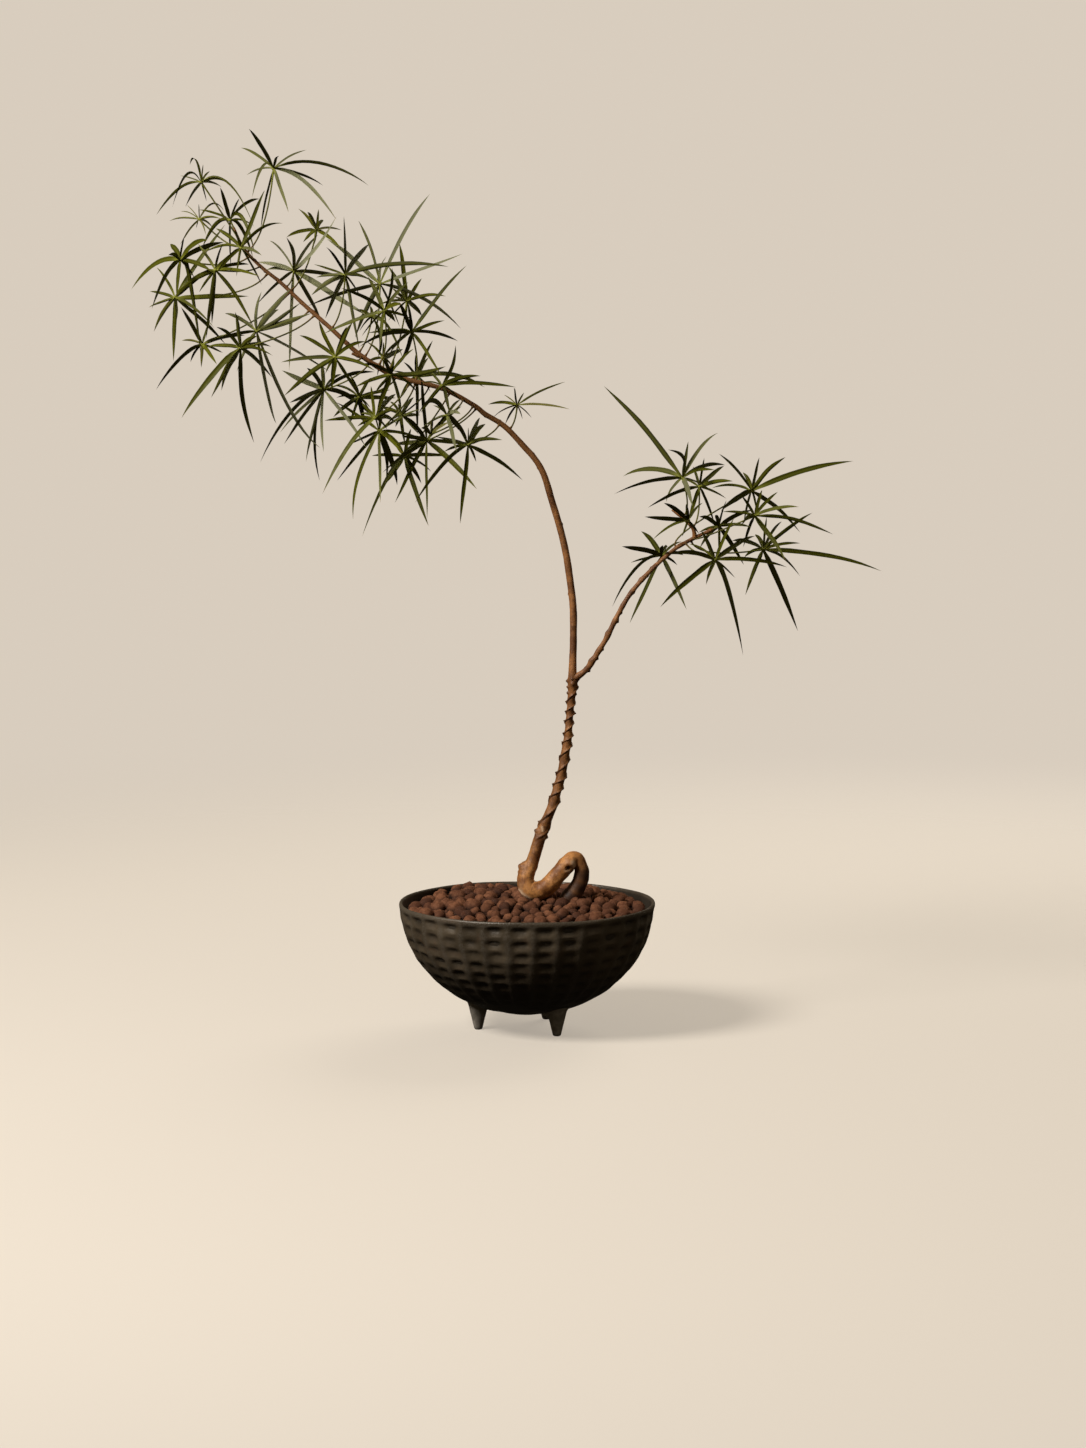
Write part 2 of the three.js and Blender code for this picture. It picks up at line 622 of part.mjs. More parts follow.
function knob(x, y, z, radius, flatten) {
  const ball = new THREE.IcosahedronGeometry(radius, 0);
  ball.deleteAttribute('normal');
  ball.deleteAttribute('uv');
  ball.scale(1, 1, flatten);
  ball.rotateY(0.3);
  ball.translate(x, y, z);
  return mergeVertices(ball, 1e-4);
}

function upperTube(line, sides, spacing) {
  const dense = smoothLine(line, 8);
  const sparse = respaced(dense, () => spacing);
  const swollen = sparse.map((entry, index) => {
    const nodal = index % 3 === 1 ? 0.35 : 0;
    return [entry[0], entry[1], entry[2], entry[3] + nodal];
  });
  return stemTube(swollen, sides, 0, null);
}

function makeTrunk() {
  return toGeometry(largestPiece(join([
    stemTube(baseTubeLine(), trunkSides, 0, ridgeRelief),
    upperTube(stemLine, 6, 21),
    upperTube(branchLine, 5, 15),
    upperTube(forkLine, 5, 12),
    upperTube(sprigLine, 5, 14),
    knob(80, 0, 440, 8, 0.9),
    knob(75, -8, 211, 6.5, 0.9),
    knob(18, -2, 209, 7, 1.2),
    knob(83, -2, 448, 5, 1.4),
  ])));
}

// Leaves

function stemPoints() {
  const points = [];
  for (const [line, first] of [[stemLine, 6], [branchLine, 5], [forkLine, 1], [sprigLine, 1]]) {
    const dense = smoothLine(line, 5);
    dense.forEach((entry, index) => {
      const after = vector(dense[Math.min(index + 1, dense.length - 1)]);
      const before = vector(dense[Math.max(index - 1, 0)]);
      points.push({
        centre: vector(entry),
        along: after.sub(before).normalize(),
        usable: index >= first * 5,
        line,
        index,
      });
    });
  }
  return points;
}

function quadratic(start, bend, end, t) {
  const result = start.clone().multiplyScalar((1 - t) * (1 - t));
  result.addScaledVector(bend, 2 * t * (1 - t));
  return result.addScaledVector(end, t * t);
}

function curvePoints(curve, count) {
  const points = [];
  for (let step = 0; step <= count; step += 1) {
    points.push(quadratic(curve.start, curve.bend, curve.end, step / count));
  }
  return points;
}

// The point at this depth that looks from the viewpoint like the point x, z on the stem's plane.
function onSight(x, depth, z) {
  const share = 1 - depth / viewpoint[1];
  return new THREE.Vector3(viewpoint[0] + (x - viewpoint[0]) * share, depth,
    viewpoint[2] + (z - viewpoint[2]) * share);
}

// True when a line of points keeps its distance from every other placed part.
function isClear(points, radius, placed, owner) {
  const box = new THREE.Box3().setFromPoints(points).expandByScalar(radius);
  const first = new THREE.Line3();
  const second = new THREE.Line3();
  for (const part of placed) {
    if (part.owner === owner || !part.box.intersectsBox(box)) {
      continue;
    }
    const limit = (radius + part.radius) * (radius + part.radius);
    for (let i = 0; i < points.length - 1; i += 1) {
      first.set(points[i], points[i + 1]);
      for (let j = 0; j < part.points.length - 1; j += 1) {
        second.set(part.points[j], part.points[j + 1]);
        if (first.distanceSqToLine3(second) < limit) {
          return false;
        }
      }
    }
  }
  return true;
}

function placePart(placed, owner, points, radius) {
  placed.push({ owner, points, radius, box: new THREE.Box3().setFromPoints(points).expandByScalar(radius) });
}

// Height of the wood's surface above a stem point, taken over the width of a petiole's end.
function surfaceHeight(wood, centre, outward, along) {
  const side = new THREE.Vector3().crossVectors(outward, along).normalize();
  const other = new THREE.Vector3().crossVectors(side, outward).normalize();
  const away = 30;
  const offsets = [-1, -0.5, 0, 0.5, 1].map((share) => share * (petioleRadius + 0.1));
  let height = 0;
  for (const sideways of offsets) {
    for (const lengthways of offsets) {
      const from = centre.clone().addScaledVector(outward, away);
      from.addScaledVector(side, sideways).addScaledVector(other, lengthways);
      const hits = new THREE.Raycaster(from, outward.clone().negate(), 0, away).intersectObject(wood);
      if (hits.length > 0) {
        height = Math.max(height, away - hits[0].distance);
      }
    }
  }
  return height;
}

// The petiole leaves the stem a little below the hub and curves up to it.
function petioleCurve(leaf, stems, slide, wood) {
  const hub = onSight(...leaf.hub);
  const usable = stems.filter((point) => point.usable);
  let nearest = usable[0];
  for (const point of usable) {
    if (point.centre.distanceTo(hub) < nearest.centre.distanceTo(hub)) {
      nearest = point;
    }
  }
  if (leaf.atTip) {
    const height = surfaceHeight(wood, nearest.centre, nearest.along, new THREE.Vector3(0, 1, 0));
    const start = nearest.centre.clone().addScaledVector(nearest.along, height + fitGap);
    const bend = start.clone().lerp(hub, 0.5);
    return { start, bend, end: hub };
  }
  const reach = nearest.centre.distanceTo(hub);
  let root = nearest;
  for (const point of usable) {
    const back = point.centre.distanceTo(nearest.centre);
    if (point.line === nearest.line && point.index < nearest.index && back <= reach * 0.4 + slide) {
      root = point.index < root.index ? point : root;
    }
  }
  const outward = hub.clone().sub(root.centre);
  outward.addScaledVector(root.along, -outward.dot(root.along)).normalize();
  const height = surfaceHeight(wood, root.centre, outward, root.along);
  const start = root.centre.clone().addScaledVector(outward, height + fitGap);
  const bend = start.clone().addScaledVector(outward, reach * 0.35);
  return { start, bend, end: hub };
}

function leafletCurve(leaf, tip, longest, depthFactor, lift) {
  const [sideways, upward] = tip;
  const hub = onSight(...leaf.hub);
  const reach = Math.hypot(sideways, upward);
  const hidden = Math.sqrt(Math.max(longest * longest - reach * reach, 0)) * hiddenShare;
  const depth = Math.min(Math.max(hidden, shortestDepth), longestDepth) * depthFactor;
  const end = onSight(leaf.hub[0] + sideways, leaf.hub[1] + depth, leaf.hub[2] + upward);
  const rise = tip.length > 2 ? tip[2] : usualRise * Math.hypot(sideways, depth);
  const bow = tip.length > 3 ? tip[3] : 0;
  const bend = hub.clone().lerp(end, 0.5);
  bend.x += 2 * bow;
  bend.z += 2 * rise + lift;
  return { start: hub, bend, end };
}

function tubeAlong(curve, radius, steps, sides) {
  const points = curvePoints(curve, steps);
  const chord = curve.end.clone().sub(curve.start).normalize();
  const reference = Math.abs(chord.y) < 0.7 ? new THREE.Vector3(0, 1, 0) : new THREE.Vector3(1, 0, 0);
  const rings = points.map((point, index) => {
    const along = points[Math.min(index + 1, steps)].clone().sub(points[Math.max(index - 1, 0)]);
    if (index === 0) {
      along.copy(curve.bend).sub(curve.start);
    }
    along.normalize();
    const across = new THREE.Vector3().crossVectors(along, reference).normalize();
    const other = new THREE.Vector3().crossVectors(across, along);
    const ring = [];
    for (let side = 0; side < sides; side += 1) {
      const angle = (2 * Math.PI * side) / sides;
      ring.push(point.clone().addScaledVector(across, Math.cos(angle) * radius)
        .addScaledVector(other, Math.sin(angle) * radius));
    }
    return ring;
  });
  return skin(rings);
}

// Narrow leaflet with a keel below: half widths as shares of the full width, at shares of its length.
function leafletBlade(curve, roll) {
  const length = curve.start.distanceTo(curve.end);
  let stations = [[0, 0.06], [0.45, 0.5]];
  if (length > mediumLeaflet) {
    stations = [[0, 0.06], [0.3, 0.42], [0.68, 0.46]];
  }
  if (length > longLeaflet) {
    stations = [[0, 0.06], [0.2, 0.34], [0.5, 0.5], [0.78, 0.4]];
  }
  const flat = curve.end.clone().sub(curve.start).setZ(0);
  if (flat.length() < 1) {
    flat.set(1, 0, 0);
  }
  const level = new THREE.Vector3(-flat.y, flat.x, 0).normalize();
  const rings = stations.map(([t, share]) => {
    const centre = quadratic(curve.start, curve.bend, curve.end, t);
    const along = quadratic(curve.start, curve.bend, curve.end, t + 0.02).sub(centre).normalize();
    const across = level.clone().addScaledVector(along, -level.dot(along)).normalize();
    across.applyAxisAngle(along, roll);
    const down = new THREE.Vector3().crossVectors(across, along);
    const half = leafletWidth * share;
    const thickness = leafletThickness * (0.2 + 1.6 * share);
    return [
      centre.clone().addScaledVector(across, half),
      centre.clone().addScaledVector(across, -half),
      centre.clone().addScaledVector(down, thickness),
    ];
  });
  return skin(rings, null, curve.end);
}

function leafHub(hub) {
  const ball = new THREE.OctahedronGeometry(hubRadius, 0);
  ball.deleteAttribute('normal');
  ball.deleteAttribute('uv');
  ball.rotateX(0.4);
  ball.rotateY(0.5);
  ball.translate(hub.x, hub.y, hub.z);
  return mergeVertices(ball, 1e-4);
}

const depthChoices = [1, 0.75, 0.5, 1.25, -1, -0.75, -0.5, 0.25, -0.25, 0, 1.6, -1.6, 2.3, -2.3];
const liftChoices = [0, 10, -10, 20, -20, 32, -32];
const slideChoices = [0, 12, 24, 36, 48, 60, 72];

function layOutLeaves(leaves, woodMesh) {
  const stems = stemPoints();
  const placed = [];
  for (const line of [stemLine, branchLine, forkLine, sprigLine, baseLine]) {
    const dense = smoothLine(line, 3);
    for (let index = 0; index < dense.length - 1; index += 1) {
      placePart(placed, 'wood', [vector(dense[index]), vector(dense[index + 1])], dense[index][3] + 0.8);
    }
  }
  leaves.forEach((leaf, owner) => {
    const hub = onSight(...leaf.hub);
    placePart(placed, owner, [hub, hub.clone().add(new THREE.Vector3(0, 0, 0.1))], hubClearance);
  });
  leaves.forEach((leaf, owner) => {
    for (const slide of slideChoices) {
      leaf.petiole = petioleCurve(leaf, stems, slide, woodMesh);
      const points = curvePoints(leaf.petiole, 5);
      const others = placed.filter((part) => part.owner !== 'wood');
      const wood = placed.filter((part) => part.owner === 'wood');
      const free = isClear(points, petioleRadius + 0.6, others, owner);
      if (free && isClear(points.slice(2), petioleRadius + 0.3, wood, owner)) {
        break;
      }
    }
    placePart(placed, owner, curvePoints(leaf.petiole, 5), petioleRadius + 0.4);
  });
  leaves.forEach((leaf, owner) => {
    const longest = Math.max(shortestWhorl, ...leaf.tips.map((tip) => Math.hypot(tip[0], tip[1])));
    leaf.leaflets = [];
    leaf.tips.forEach((tip, order) => {
      const sign = (order + owner) % 2 === 0 ? 1 : -1;
      for (const lift of liftChoices) {
        for (const factor of depthChoices) {
          const curve = leafletCurve(leaf, tip, longest, factor * sign, lift);
          const points = curvePoints(curve, 6);
          if (isClear(points, leafletClearance, placed, owner)) {
            const side = order % 2 === 0 ? 1 : -1;
            const roll = side * (leastRoll + rollRange * ((order * 0.618 + owner * 0.37) % 1));
            leaf.leaflets.push({ curve, roll });
            placePart(placed, owner, points, leafletClearance);
            return;
          }
        }
      }
    });
  });
}

function makeLeaf(leaf) {
  const parts = [leafHub(leaf.petiole.end), tubeAlong(leaf.petiole, petioleRadius, 3, 3)];
  for (const leaflet of leaf.leaflets) {
    parts.push(leafletBlade(leaflet.curve, leaflet.roll));
  }
  return toGeometry(largestPiece(join(parts)));
}

// Assembly

function addNode(group, name, geometry, colour) {
  geometry.computeVertexNormals();
  const material = new THREE.MeshStandardMaterial({ color: colour, roughness: 0.8, flatShading: true });
  const mesh = new THREE.Mesh(geometry, material);
  mesh.name = name;
  group.add(mesh);
  return mesh;
}

const plant = new THREE.Group();
plant.name = 'potted_queensland_bottle_tree';
addNode(plant, 'bowl', makeBowl(), bowlColour);
for (const [name, angle] of Object.entries(footAngles)) {
  addNode(plant, name, makeFoot(angle), footColour);
}
addNode(plant, 'soil', makeSoil(), soilColour);
addNode(plant, 'pebbles', makePebbles(), pebbleColour);
const trunk = addNode(plant, 'trunk', makeTrunk(), woodColour);
layOutLeaves([...leftLeaves, ...rightLeaves], trunk);
leftLeaves.forEach((leaf, index) => {
  addNode(plant, `leaf_left_${String(index + 1).padStart(2, '0')}`, makeLeaf(leaf), leafColour);
});
rightLeaves.forEach((leaf, index) => {
  addNode(plant, `leaf_right_${String(index + 1).padStart(2, '0')}`, makeLeaf(leaf), leafColour);
});

export default plant;
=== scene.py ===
import itertools
import math

import bmesh
import bpy
import numpy as np
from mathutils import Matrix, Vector, noise
from mathutils.bvhtree import BVHTree


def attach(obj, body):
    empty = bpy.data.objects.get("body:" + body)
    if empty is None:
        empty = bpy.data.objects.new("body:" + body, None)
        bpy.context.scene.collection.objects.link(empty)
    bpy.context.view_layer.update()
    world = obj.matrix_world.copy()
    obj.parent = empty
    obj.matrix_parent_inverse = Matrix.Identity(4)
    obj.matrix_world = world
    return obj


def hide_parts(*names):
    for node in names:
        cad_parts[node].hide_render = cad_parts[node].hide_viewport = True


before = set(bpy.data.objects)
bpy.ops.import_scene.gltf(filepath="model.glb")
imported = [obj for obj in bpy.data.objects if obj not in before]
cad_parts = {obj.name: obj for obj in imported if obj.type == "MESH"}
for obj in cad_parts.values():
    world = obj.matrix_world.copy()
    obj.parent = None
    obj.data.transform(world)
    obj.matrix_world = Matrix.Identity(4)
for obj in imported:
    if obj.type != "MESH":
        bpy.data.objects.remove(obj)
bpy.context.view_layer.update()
millimetre = 0.001  # sizes below are in millimetres, and every mesh is made in metres

# Camera and lights

camera = {
    "aim": (0.043, 0.0, 0.3866),
    "distance": 4.5,
    "elevation": 6.7,
    "lens": 89.43,
}
lights = {
    "worldColour": (1.0, 0.79, 0.5),
    "worldStrength": 0.115,
    "worldBelow": 0.02,
    "backdropColour": (0.69, 0.61, 0.515),
    "backdropRadius": 26.0,
    "floorColour": (0.29, 0.265, 0.232),
    "floorGlow": (0.4, 0.355, 0.3),
    "floorRadius": 3.2,
    "floorFade": (1.1, 3.0),
    "floorMiddle": 43.0,
    "floorRings": 40,
    "floorColumns": 96,
    "areas": [  # name, place, aimed at, size, watts, colour
        ("key", (-2.8, -2.1, 3.1), (0.0, 0.0, 0.45), 1.5, 320.0, (1.0, 0.955, 0.89)),
        ("fill", (2.6, -2.8, 1.5), (0.0, 0.0, 0.5), 2.4, 6.5, (1.0, 0.9, 0.74)),
        ("wall", (1.6, 2.9, 1.9), (0.0, 0.0, 0.6), 2.6, 105.0, (1.0, 0.95, 0.86)),
    ],
}


def lookAt(item, target):
    direction = Vector(target) - item.location
    item.rotation_euler = direction.to_track_quat("-Z", "Y").to_euler()


def makeCamera():
    data = bpy.data.cameras.new("camera")
    data.lens = camera["lens"]
    data.sensor_width = 36.0
    data.clip_end = 100.0
    item = bpy.data.objects.new("camera", data)
    slope = math.radians(camera["elevation"])
    back = Vector((0.0, -math.cos(slope), math.sin(slope))) * camera["distance"]
    item.location = Vector(camera["aim"]) + back
    lookAt(item, camera["aim"])
    bpy.context.collection.objects.link(item)
    bpy.context.scene.camera = item


def makeLights():
    for name, place, target, size, power, colour in lights["areas"]:
        data = bpy.data.lights.new(name, "AREA")
        data.shape = "DISK"
        data.size = size
        data.energy = power
        data.color = colour
        item = bpy.data.objects.new(name, data)
        item.location = place
        lookAt(item, target)
        item.visible_glossy = name != "wall"
        bpy.context.collection.objects.link(item)
    world = bpy.data.worlds.new("studio")
    world.use_nodes = True
    tree = world.node_tree
    background = tree.nodes["Background"]
    background.inputs["Color"].default_value = (*lights["worldColour"], 1.0)
    direction = shaderNode(tree, "ShaderNodeTexCoord").outputs["Generated"]
    upward = shaderNode(tree, "ShaderNodeSeparateXYZ", {"Vector": direction}).outputs["Z"]
    strength = remap(tree, upward, -0.5, 0.25, lights["worldBelow"], lights["worldStrength"])
    feed(tree, background.inputs["Strength"], strength)
    bpy.context.scene.world = world
    bpy.context.scene.view_settings.view_transform = "Standard"


# Mesh helpers

def makeObject(name, points, faces, attributes=None, sharpAngle=None):
    mesh = bpy.data.meshes.new(name)
    mesh.from_pydata((np.asarray(points, float) * millimetre).tolist(), [], faces)
    mesh.shade_smooth()
    for label, values in (attributes or {}).items():
        values = np.asarray(values, np.float32)
        if values.ndim == 1:
            mesh.attributes.new(label, "FLOAT", "POINT").data.foreach_set("value", values)
        else:
            mesh.attributes.new(label, "FLOAT_VECTOR", "POINT").data.foreach_set("vector", values.ravel())
    if sharpAngle:
        mesh.set_sharp_from_angle(angle=math.radians(sharpAngle))
    mesh.update()
    item = bpy.data.objects.new(name, mesh)
    bpy.context.collection.objects.link(item)
    return item


def dress(piece, nodeNames, material):
    if material.name not in piece.data.materials:
        piece.data.materials.append(material)
    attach(piece, "root")
    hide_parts(*nodeNames)


def smoothStep(low, high, value):
    share = np.clip((np.asarray(value, float) - low) / (high - low), 0.0, 1.0)
    return share * share * (3.0 - 2.0 * share)


def noiseAt(points, size, seed=0.0):
    offset = Vector((seed, seed * 1.7, seed * 2.3))
    return np.array([noise.noise(Vector(point) / size + offset) for point in points])


def unit(vector):
    vector = np.asarray(vector, float)
    return vector / max(np.linalg.norm(vector), 1e-12)


# Faces between rings of equal point count; turned over where reverse is true.
def bridgeRings(first, second, count, reverse=False):
    faces = []
    for side in range(count):
        after = (side + 1) % count
        quad = (first + side, first + after, second + after, second + side)
        faces.append(quad[::-1] if reverse else quad)
    return faces


def fanAt(ring, count, centre, reverse=False):
    faces = []
    for side in range(count):
        triangle = (ring + side, ring + (side + 1) % count, centre)
        faces.append(triangle[::-1] if reverse else triangle)
    return faces


# Closed tube through rings of points (rings, sides, 3), its ends closed at their middles.
def closedTube(rings):
    count, sides = rings.shape[:2]
    points = np.vstack([rings.reshape(-1, 3), rings[0].mean(0), rings[-1].mean(0)])
    faces = []
    for ring in range(count - 1):
        faces += bridgeRings(ring * sides, (ring + 1) * sides, sides)
    faces += fanAt(0, sides, count * sides, reverse=True)
    faces += fanAt((count - 1) * sides, sides, count * sides + 1)
    return points, faces


# Gathers parts into one mesh; widths gives each attribute's number of values.
class Collector:
    def __init__(self, **widths):
        self.widths = widths
        self.points = []
        self.faces = []
        self.values = {label: [] for label in widths}
        self.total = 0

    def add(self, points, faces, **values):
        count = len(points)
        self.points.append(np.asarray(points, float))
        self.faces += [tuple(index + self.total for index in face) for face in faces]
        self.total += count
        for label, width in self.widths.items():
            shape = (count,) if width == 1 else (count, width)
            self.values[label].append(np.broadcast_to(np.asarray(values[label], float), shape))

    def build(self, name, sharpAngle=None):
        joined = {label: np.concatenate(parts) for label, parts in self.values.items()}
        return makeObject(name, np.vstack(self.points), self.faces, joined, sharpAngle)


# Material helpers

def newMaterial(name):
    material = bpy.data.materials.new(name)
    material.use_nodes = True
    return material, material.node_tree, material.node_tree.nodes["Principled BSDF"]


def feed(tree, socket, value):
    if isinstance(value, bpy.types.NodeSocket):
        tree.links.new(value, socket)
    else:
        socket.default_value = value


def shaderNode(tree, kind, inputs=None, **settings):
    node = tree.nodes.new(kind)
    for label, value in settings.items():
        setattr(node, label, value)
    for label, value in (inputs or {}).items():
        feed(tree, node.inputs[label], value)
    return node


def blendColours(tree, share, first, second, mode="MIX"):
    node = shaderNode(tree, "ShaderNodeMix", data_type="RGBA", blend_type=mode)
    for socket, value in zip((node.inputs[0], node.inputs[6], node.inputs[7]), (share, first, second)):
        feed(tree, socket, (*value, 1.0) if isinstance(value, tuple) and len(value) == 3 else value)
    return node.outputs[2]


def combine(tree, operation, first, second=0.0, clamp=False):
    node = shaderNode(tree, "ShaderNodeMath", operation=operation, use_clamp=clamp)
    feed(tree, node.inputs[0], first)
    feed(tree, node.inputs[1], second)
    return node.outputs[0]


def multiply(tree, *values):
    total = values[0]
    for value in values[1:]:
        total = combine(tree, "MULTIPLY", total, value)
    return total


def remap(tree, value, fromLow, fromHigh, toLow=0.0, toHigh=1.0, smooth=True):
    node = shaderNode(tree, "ShaderNodeMapRange", interpolation_type="SMOOTHSTEP" if smooth else "LINEAR")
    for label, entry in (("Value", value), ("From Min", fromLow), ("From Max", fromHigh), ("To Min", toLow),
                         ("To Max", toHigh)):
        feed(tree, node.inputs[label], entry)
    return node.outputs["Result"]


def attributeOf(tree, label, output="Fac"):
    return shaderNode(tree, "ShaderNodeAttribute", attribute_name=label).outputs[output]


def objectPlace(tree):
    return shaderNode(tree, "ShaderNodeTexCoord").outputs["Object"]


# Noise of features about as large as size, in metres
def noiseOf(tree, place, size, detail=4.0, roughness=0.55, distortion=0.0):
    return shaderNode(tree, "ShaderNodeTexNoise", {"Vector": place, "Scale": 1.0 / size, "Detail": detail,
                      "Roughness": roughness, "Distortion": distortion}).outputs["Fac"]


def stretched(tree, place, factors):
    return shaderNode(tree, "ShaderNodeVectorMath", {0: place, 1: factors}, operation="MULTIPLY").outputs[0]


def bumpOf(tree, height, strength, distance, normal=None):
    node = shaderNode(tree, "ShaderNodeBump", {"Height": height, "Strength": strength, "Distance": distance})
    if normal:
        feed(tree, node.inputs["Normal"], normal)
    return node.outputs["Normal"]


def heightOf(tree, vector):
    return shaderNode(tree, "ShaderNodeSeparateXYZ", {"Vector": vector}).outputs["Z"]


# Lays each colour over the base by its share
def layered(tree, base, layers):
    for share, colour in layers:
        base = blendColours(tree, share, base, colour)
    return base


# Bumps are height, strength and distance in metres, the coarse one first.
def finishSurface(surface, base, roughness, specular, bumps):
    material, tree, shader = surface
    feed(tree, shader.inputs["Base Color"], base)
    feed(tree, shader.inputs["Roughness"], roughness)
    shader.inputs["Specular IOR Level"].default_value = specular
    normal = None
    for height, strength, distance in bumps:
        normal = bumpOf(tree, height, strength, distance, normal)
    feed(tree, shader.inputs["Normal"], normal)
    return material


# Geometry Nodes helpers

def geometryTree(name, inputs):
    tree = bpy.data.node_groups.new(name, "GeometryNodeTree")
    tree.interface.new_socket("Geometry", in_out="INPUT", socket_type="NodeSocketGeometry")
    for label, value in inputs.items():
        kind = "NodeSocketInt" if isinstance(value, int) else "NodeSocketFloat"
        tree.interface.new_socket(label, in_out="INPUT", socket_type=kind).default_value = value
    tree.interface.new_socket("Geometry", in_out="OUTPUT", socket_type="NodeSocketGeometry")
    return tree, tree.nodes.new("NodeGroupInput").outputs, tree.nodes.new("NodeGroupOutput").inputs[0]


def namedValue(tree, label, kind="FLOAT"):
    node = shaderNode(tree, "GeometryNodeInputNamedAttribute", {"Name": label}, data_type=kind)
    return next(socket for socket in node.outputs if socket.enabled and socket.name == "Attribute")


# One random number for each value of index, or for each element
def randomValue(tree, low, high, seed, index=None):
    node = shaderNode(tree, "FunctionNodeRandomValue", {2: low, 3: high, "Seed": seed}, data_type="FLOAT")
    if index:
        feed(tree, node.inputs["ID"], index)
    return node.outputs[1]


def geometryStep(tree, kind, geometry, inputs=None, **settings):
    return shaderNode(tree, kind, {"Geometry": geometry, **(inputs or {})}, **settings).outputs["Geometry"]


def storeValue(tree, geometry, label, value):
    return geometryStep(tree, "GeometryNodeStoreNamedAttribute", geometry, {"Name": label, "Value": value},
                        data_type="FLOAT", domain="POINT")


def movePoints(tree, geometry, way, reach):
    offset = shaderNode(tree, "ShaderNodeVectorMath", {0: way, "Scale": reach}, operation="SCALE").outputs[0]
    return geometryStep(tree, "GeometryNodeSetPosition", geometry, {"Offset": offset})


def finishTree(tree, geometry, material, result):
    geometry = geometryStep(tree, "GeometryNodeRealizeInstances", geometry)
    feed(tree, result, geometryStep(tree, "GeometryNodeSetMaterial", geometry, {"Material": material}))


# Turns the object into the plain mesh that the tree makes of it
def applyTree(item, tree, inputs):
    modifier = item.modifiers.new(tree.name, "NODES")
    modifier.node_group = tree
    for socket in tree.interface.items_tree:
        if socket.in_out == "INPUT" and socket.name in inputs:
            modifier[socket.identifier] = inputs[socket.name]
    graph = bpy.context.evaluated_depsgraph_get()
    evaluated = item.evaluated_get(graph)
    mesh = bpy.data.meshes.new_from_object(evaluated, preserve_all_data_layers=True, depsgraph=graph)
    item.modifiers.remove(modifier)
    item.data = mesh
    return item


# Planter bowl: beaten metal with level rows of shallow dents between upright ribs

bowl = {
    "centreX": 23.0,
    "rimRadius": 161.0,
    "rimHeight": 159.5,
    "depth": 140.0,
    "wall": 4.5,
    "lipRise": 2.5,
    "dentColumns": 32,
    "dentRows": 8,
    "firstDent": 1.0,
    "dentTurn": 2.9,
    "rowStep": 6.8,
    "dentDepth": 3.5,
    # shares of a dent's depth, and how far dents stray in shares of their cell
    "dentStrength": (0.5, 1.05),
    "dentStray": 0.1,
    "dentArch": 0.16,
    "dentSide": (0.05, 0.42),
    "dentTop": (0.0, 0.42),
    "dentSlope": (0.2, 0.92),
    "dentRise": 0.97,
    "dentLip": 0.16,
    "lipPlace": 0.9,
    "lipWidth": 0.075,
    "rib": 0.34,
    "pinch": 0.06,
    "wallInset": 0.9,
    "hammerSize": 24.0,
    "hammerDepth": 1.2,
    "stepsPerColumn": 14,
    "stepsPerRow": 12,
    "seed": 17,
}


def bowlPlace(drop, around, inset, rise=0.0):
    drop = np.radians(drop)
    radius = (bowl["rimRadius"] - inset) * np.cos(drop)
    height = bowl["rimHeight"] - (bowl["depth"] - inset) * np.sin(drop) + rise
    places = (bowl["centreX"] + radius * np.cos(around), radius * np.sin(around), height)
    return np.stack(np.broadcast_arrays(*places), axis=-1)


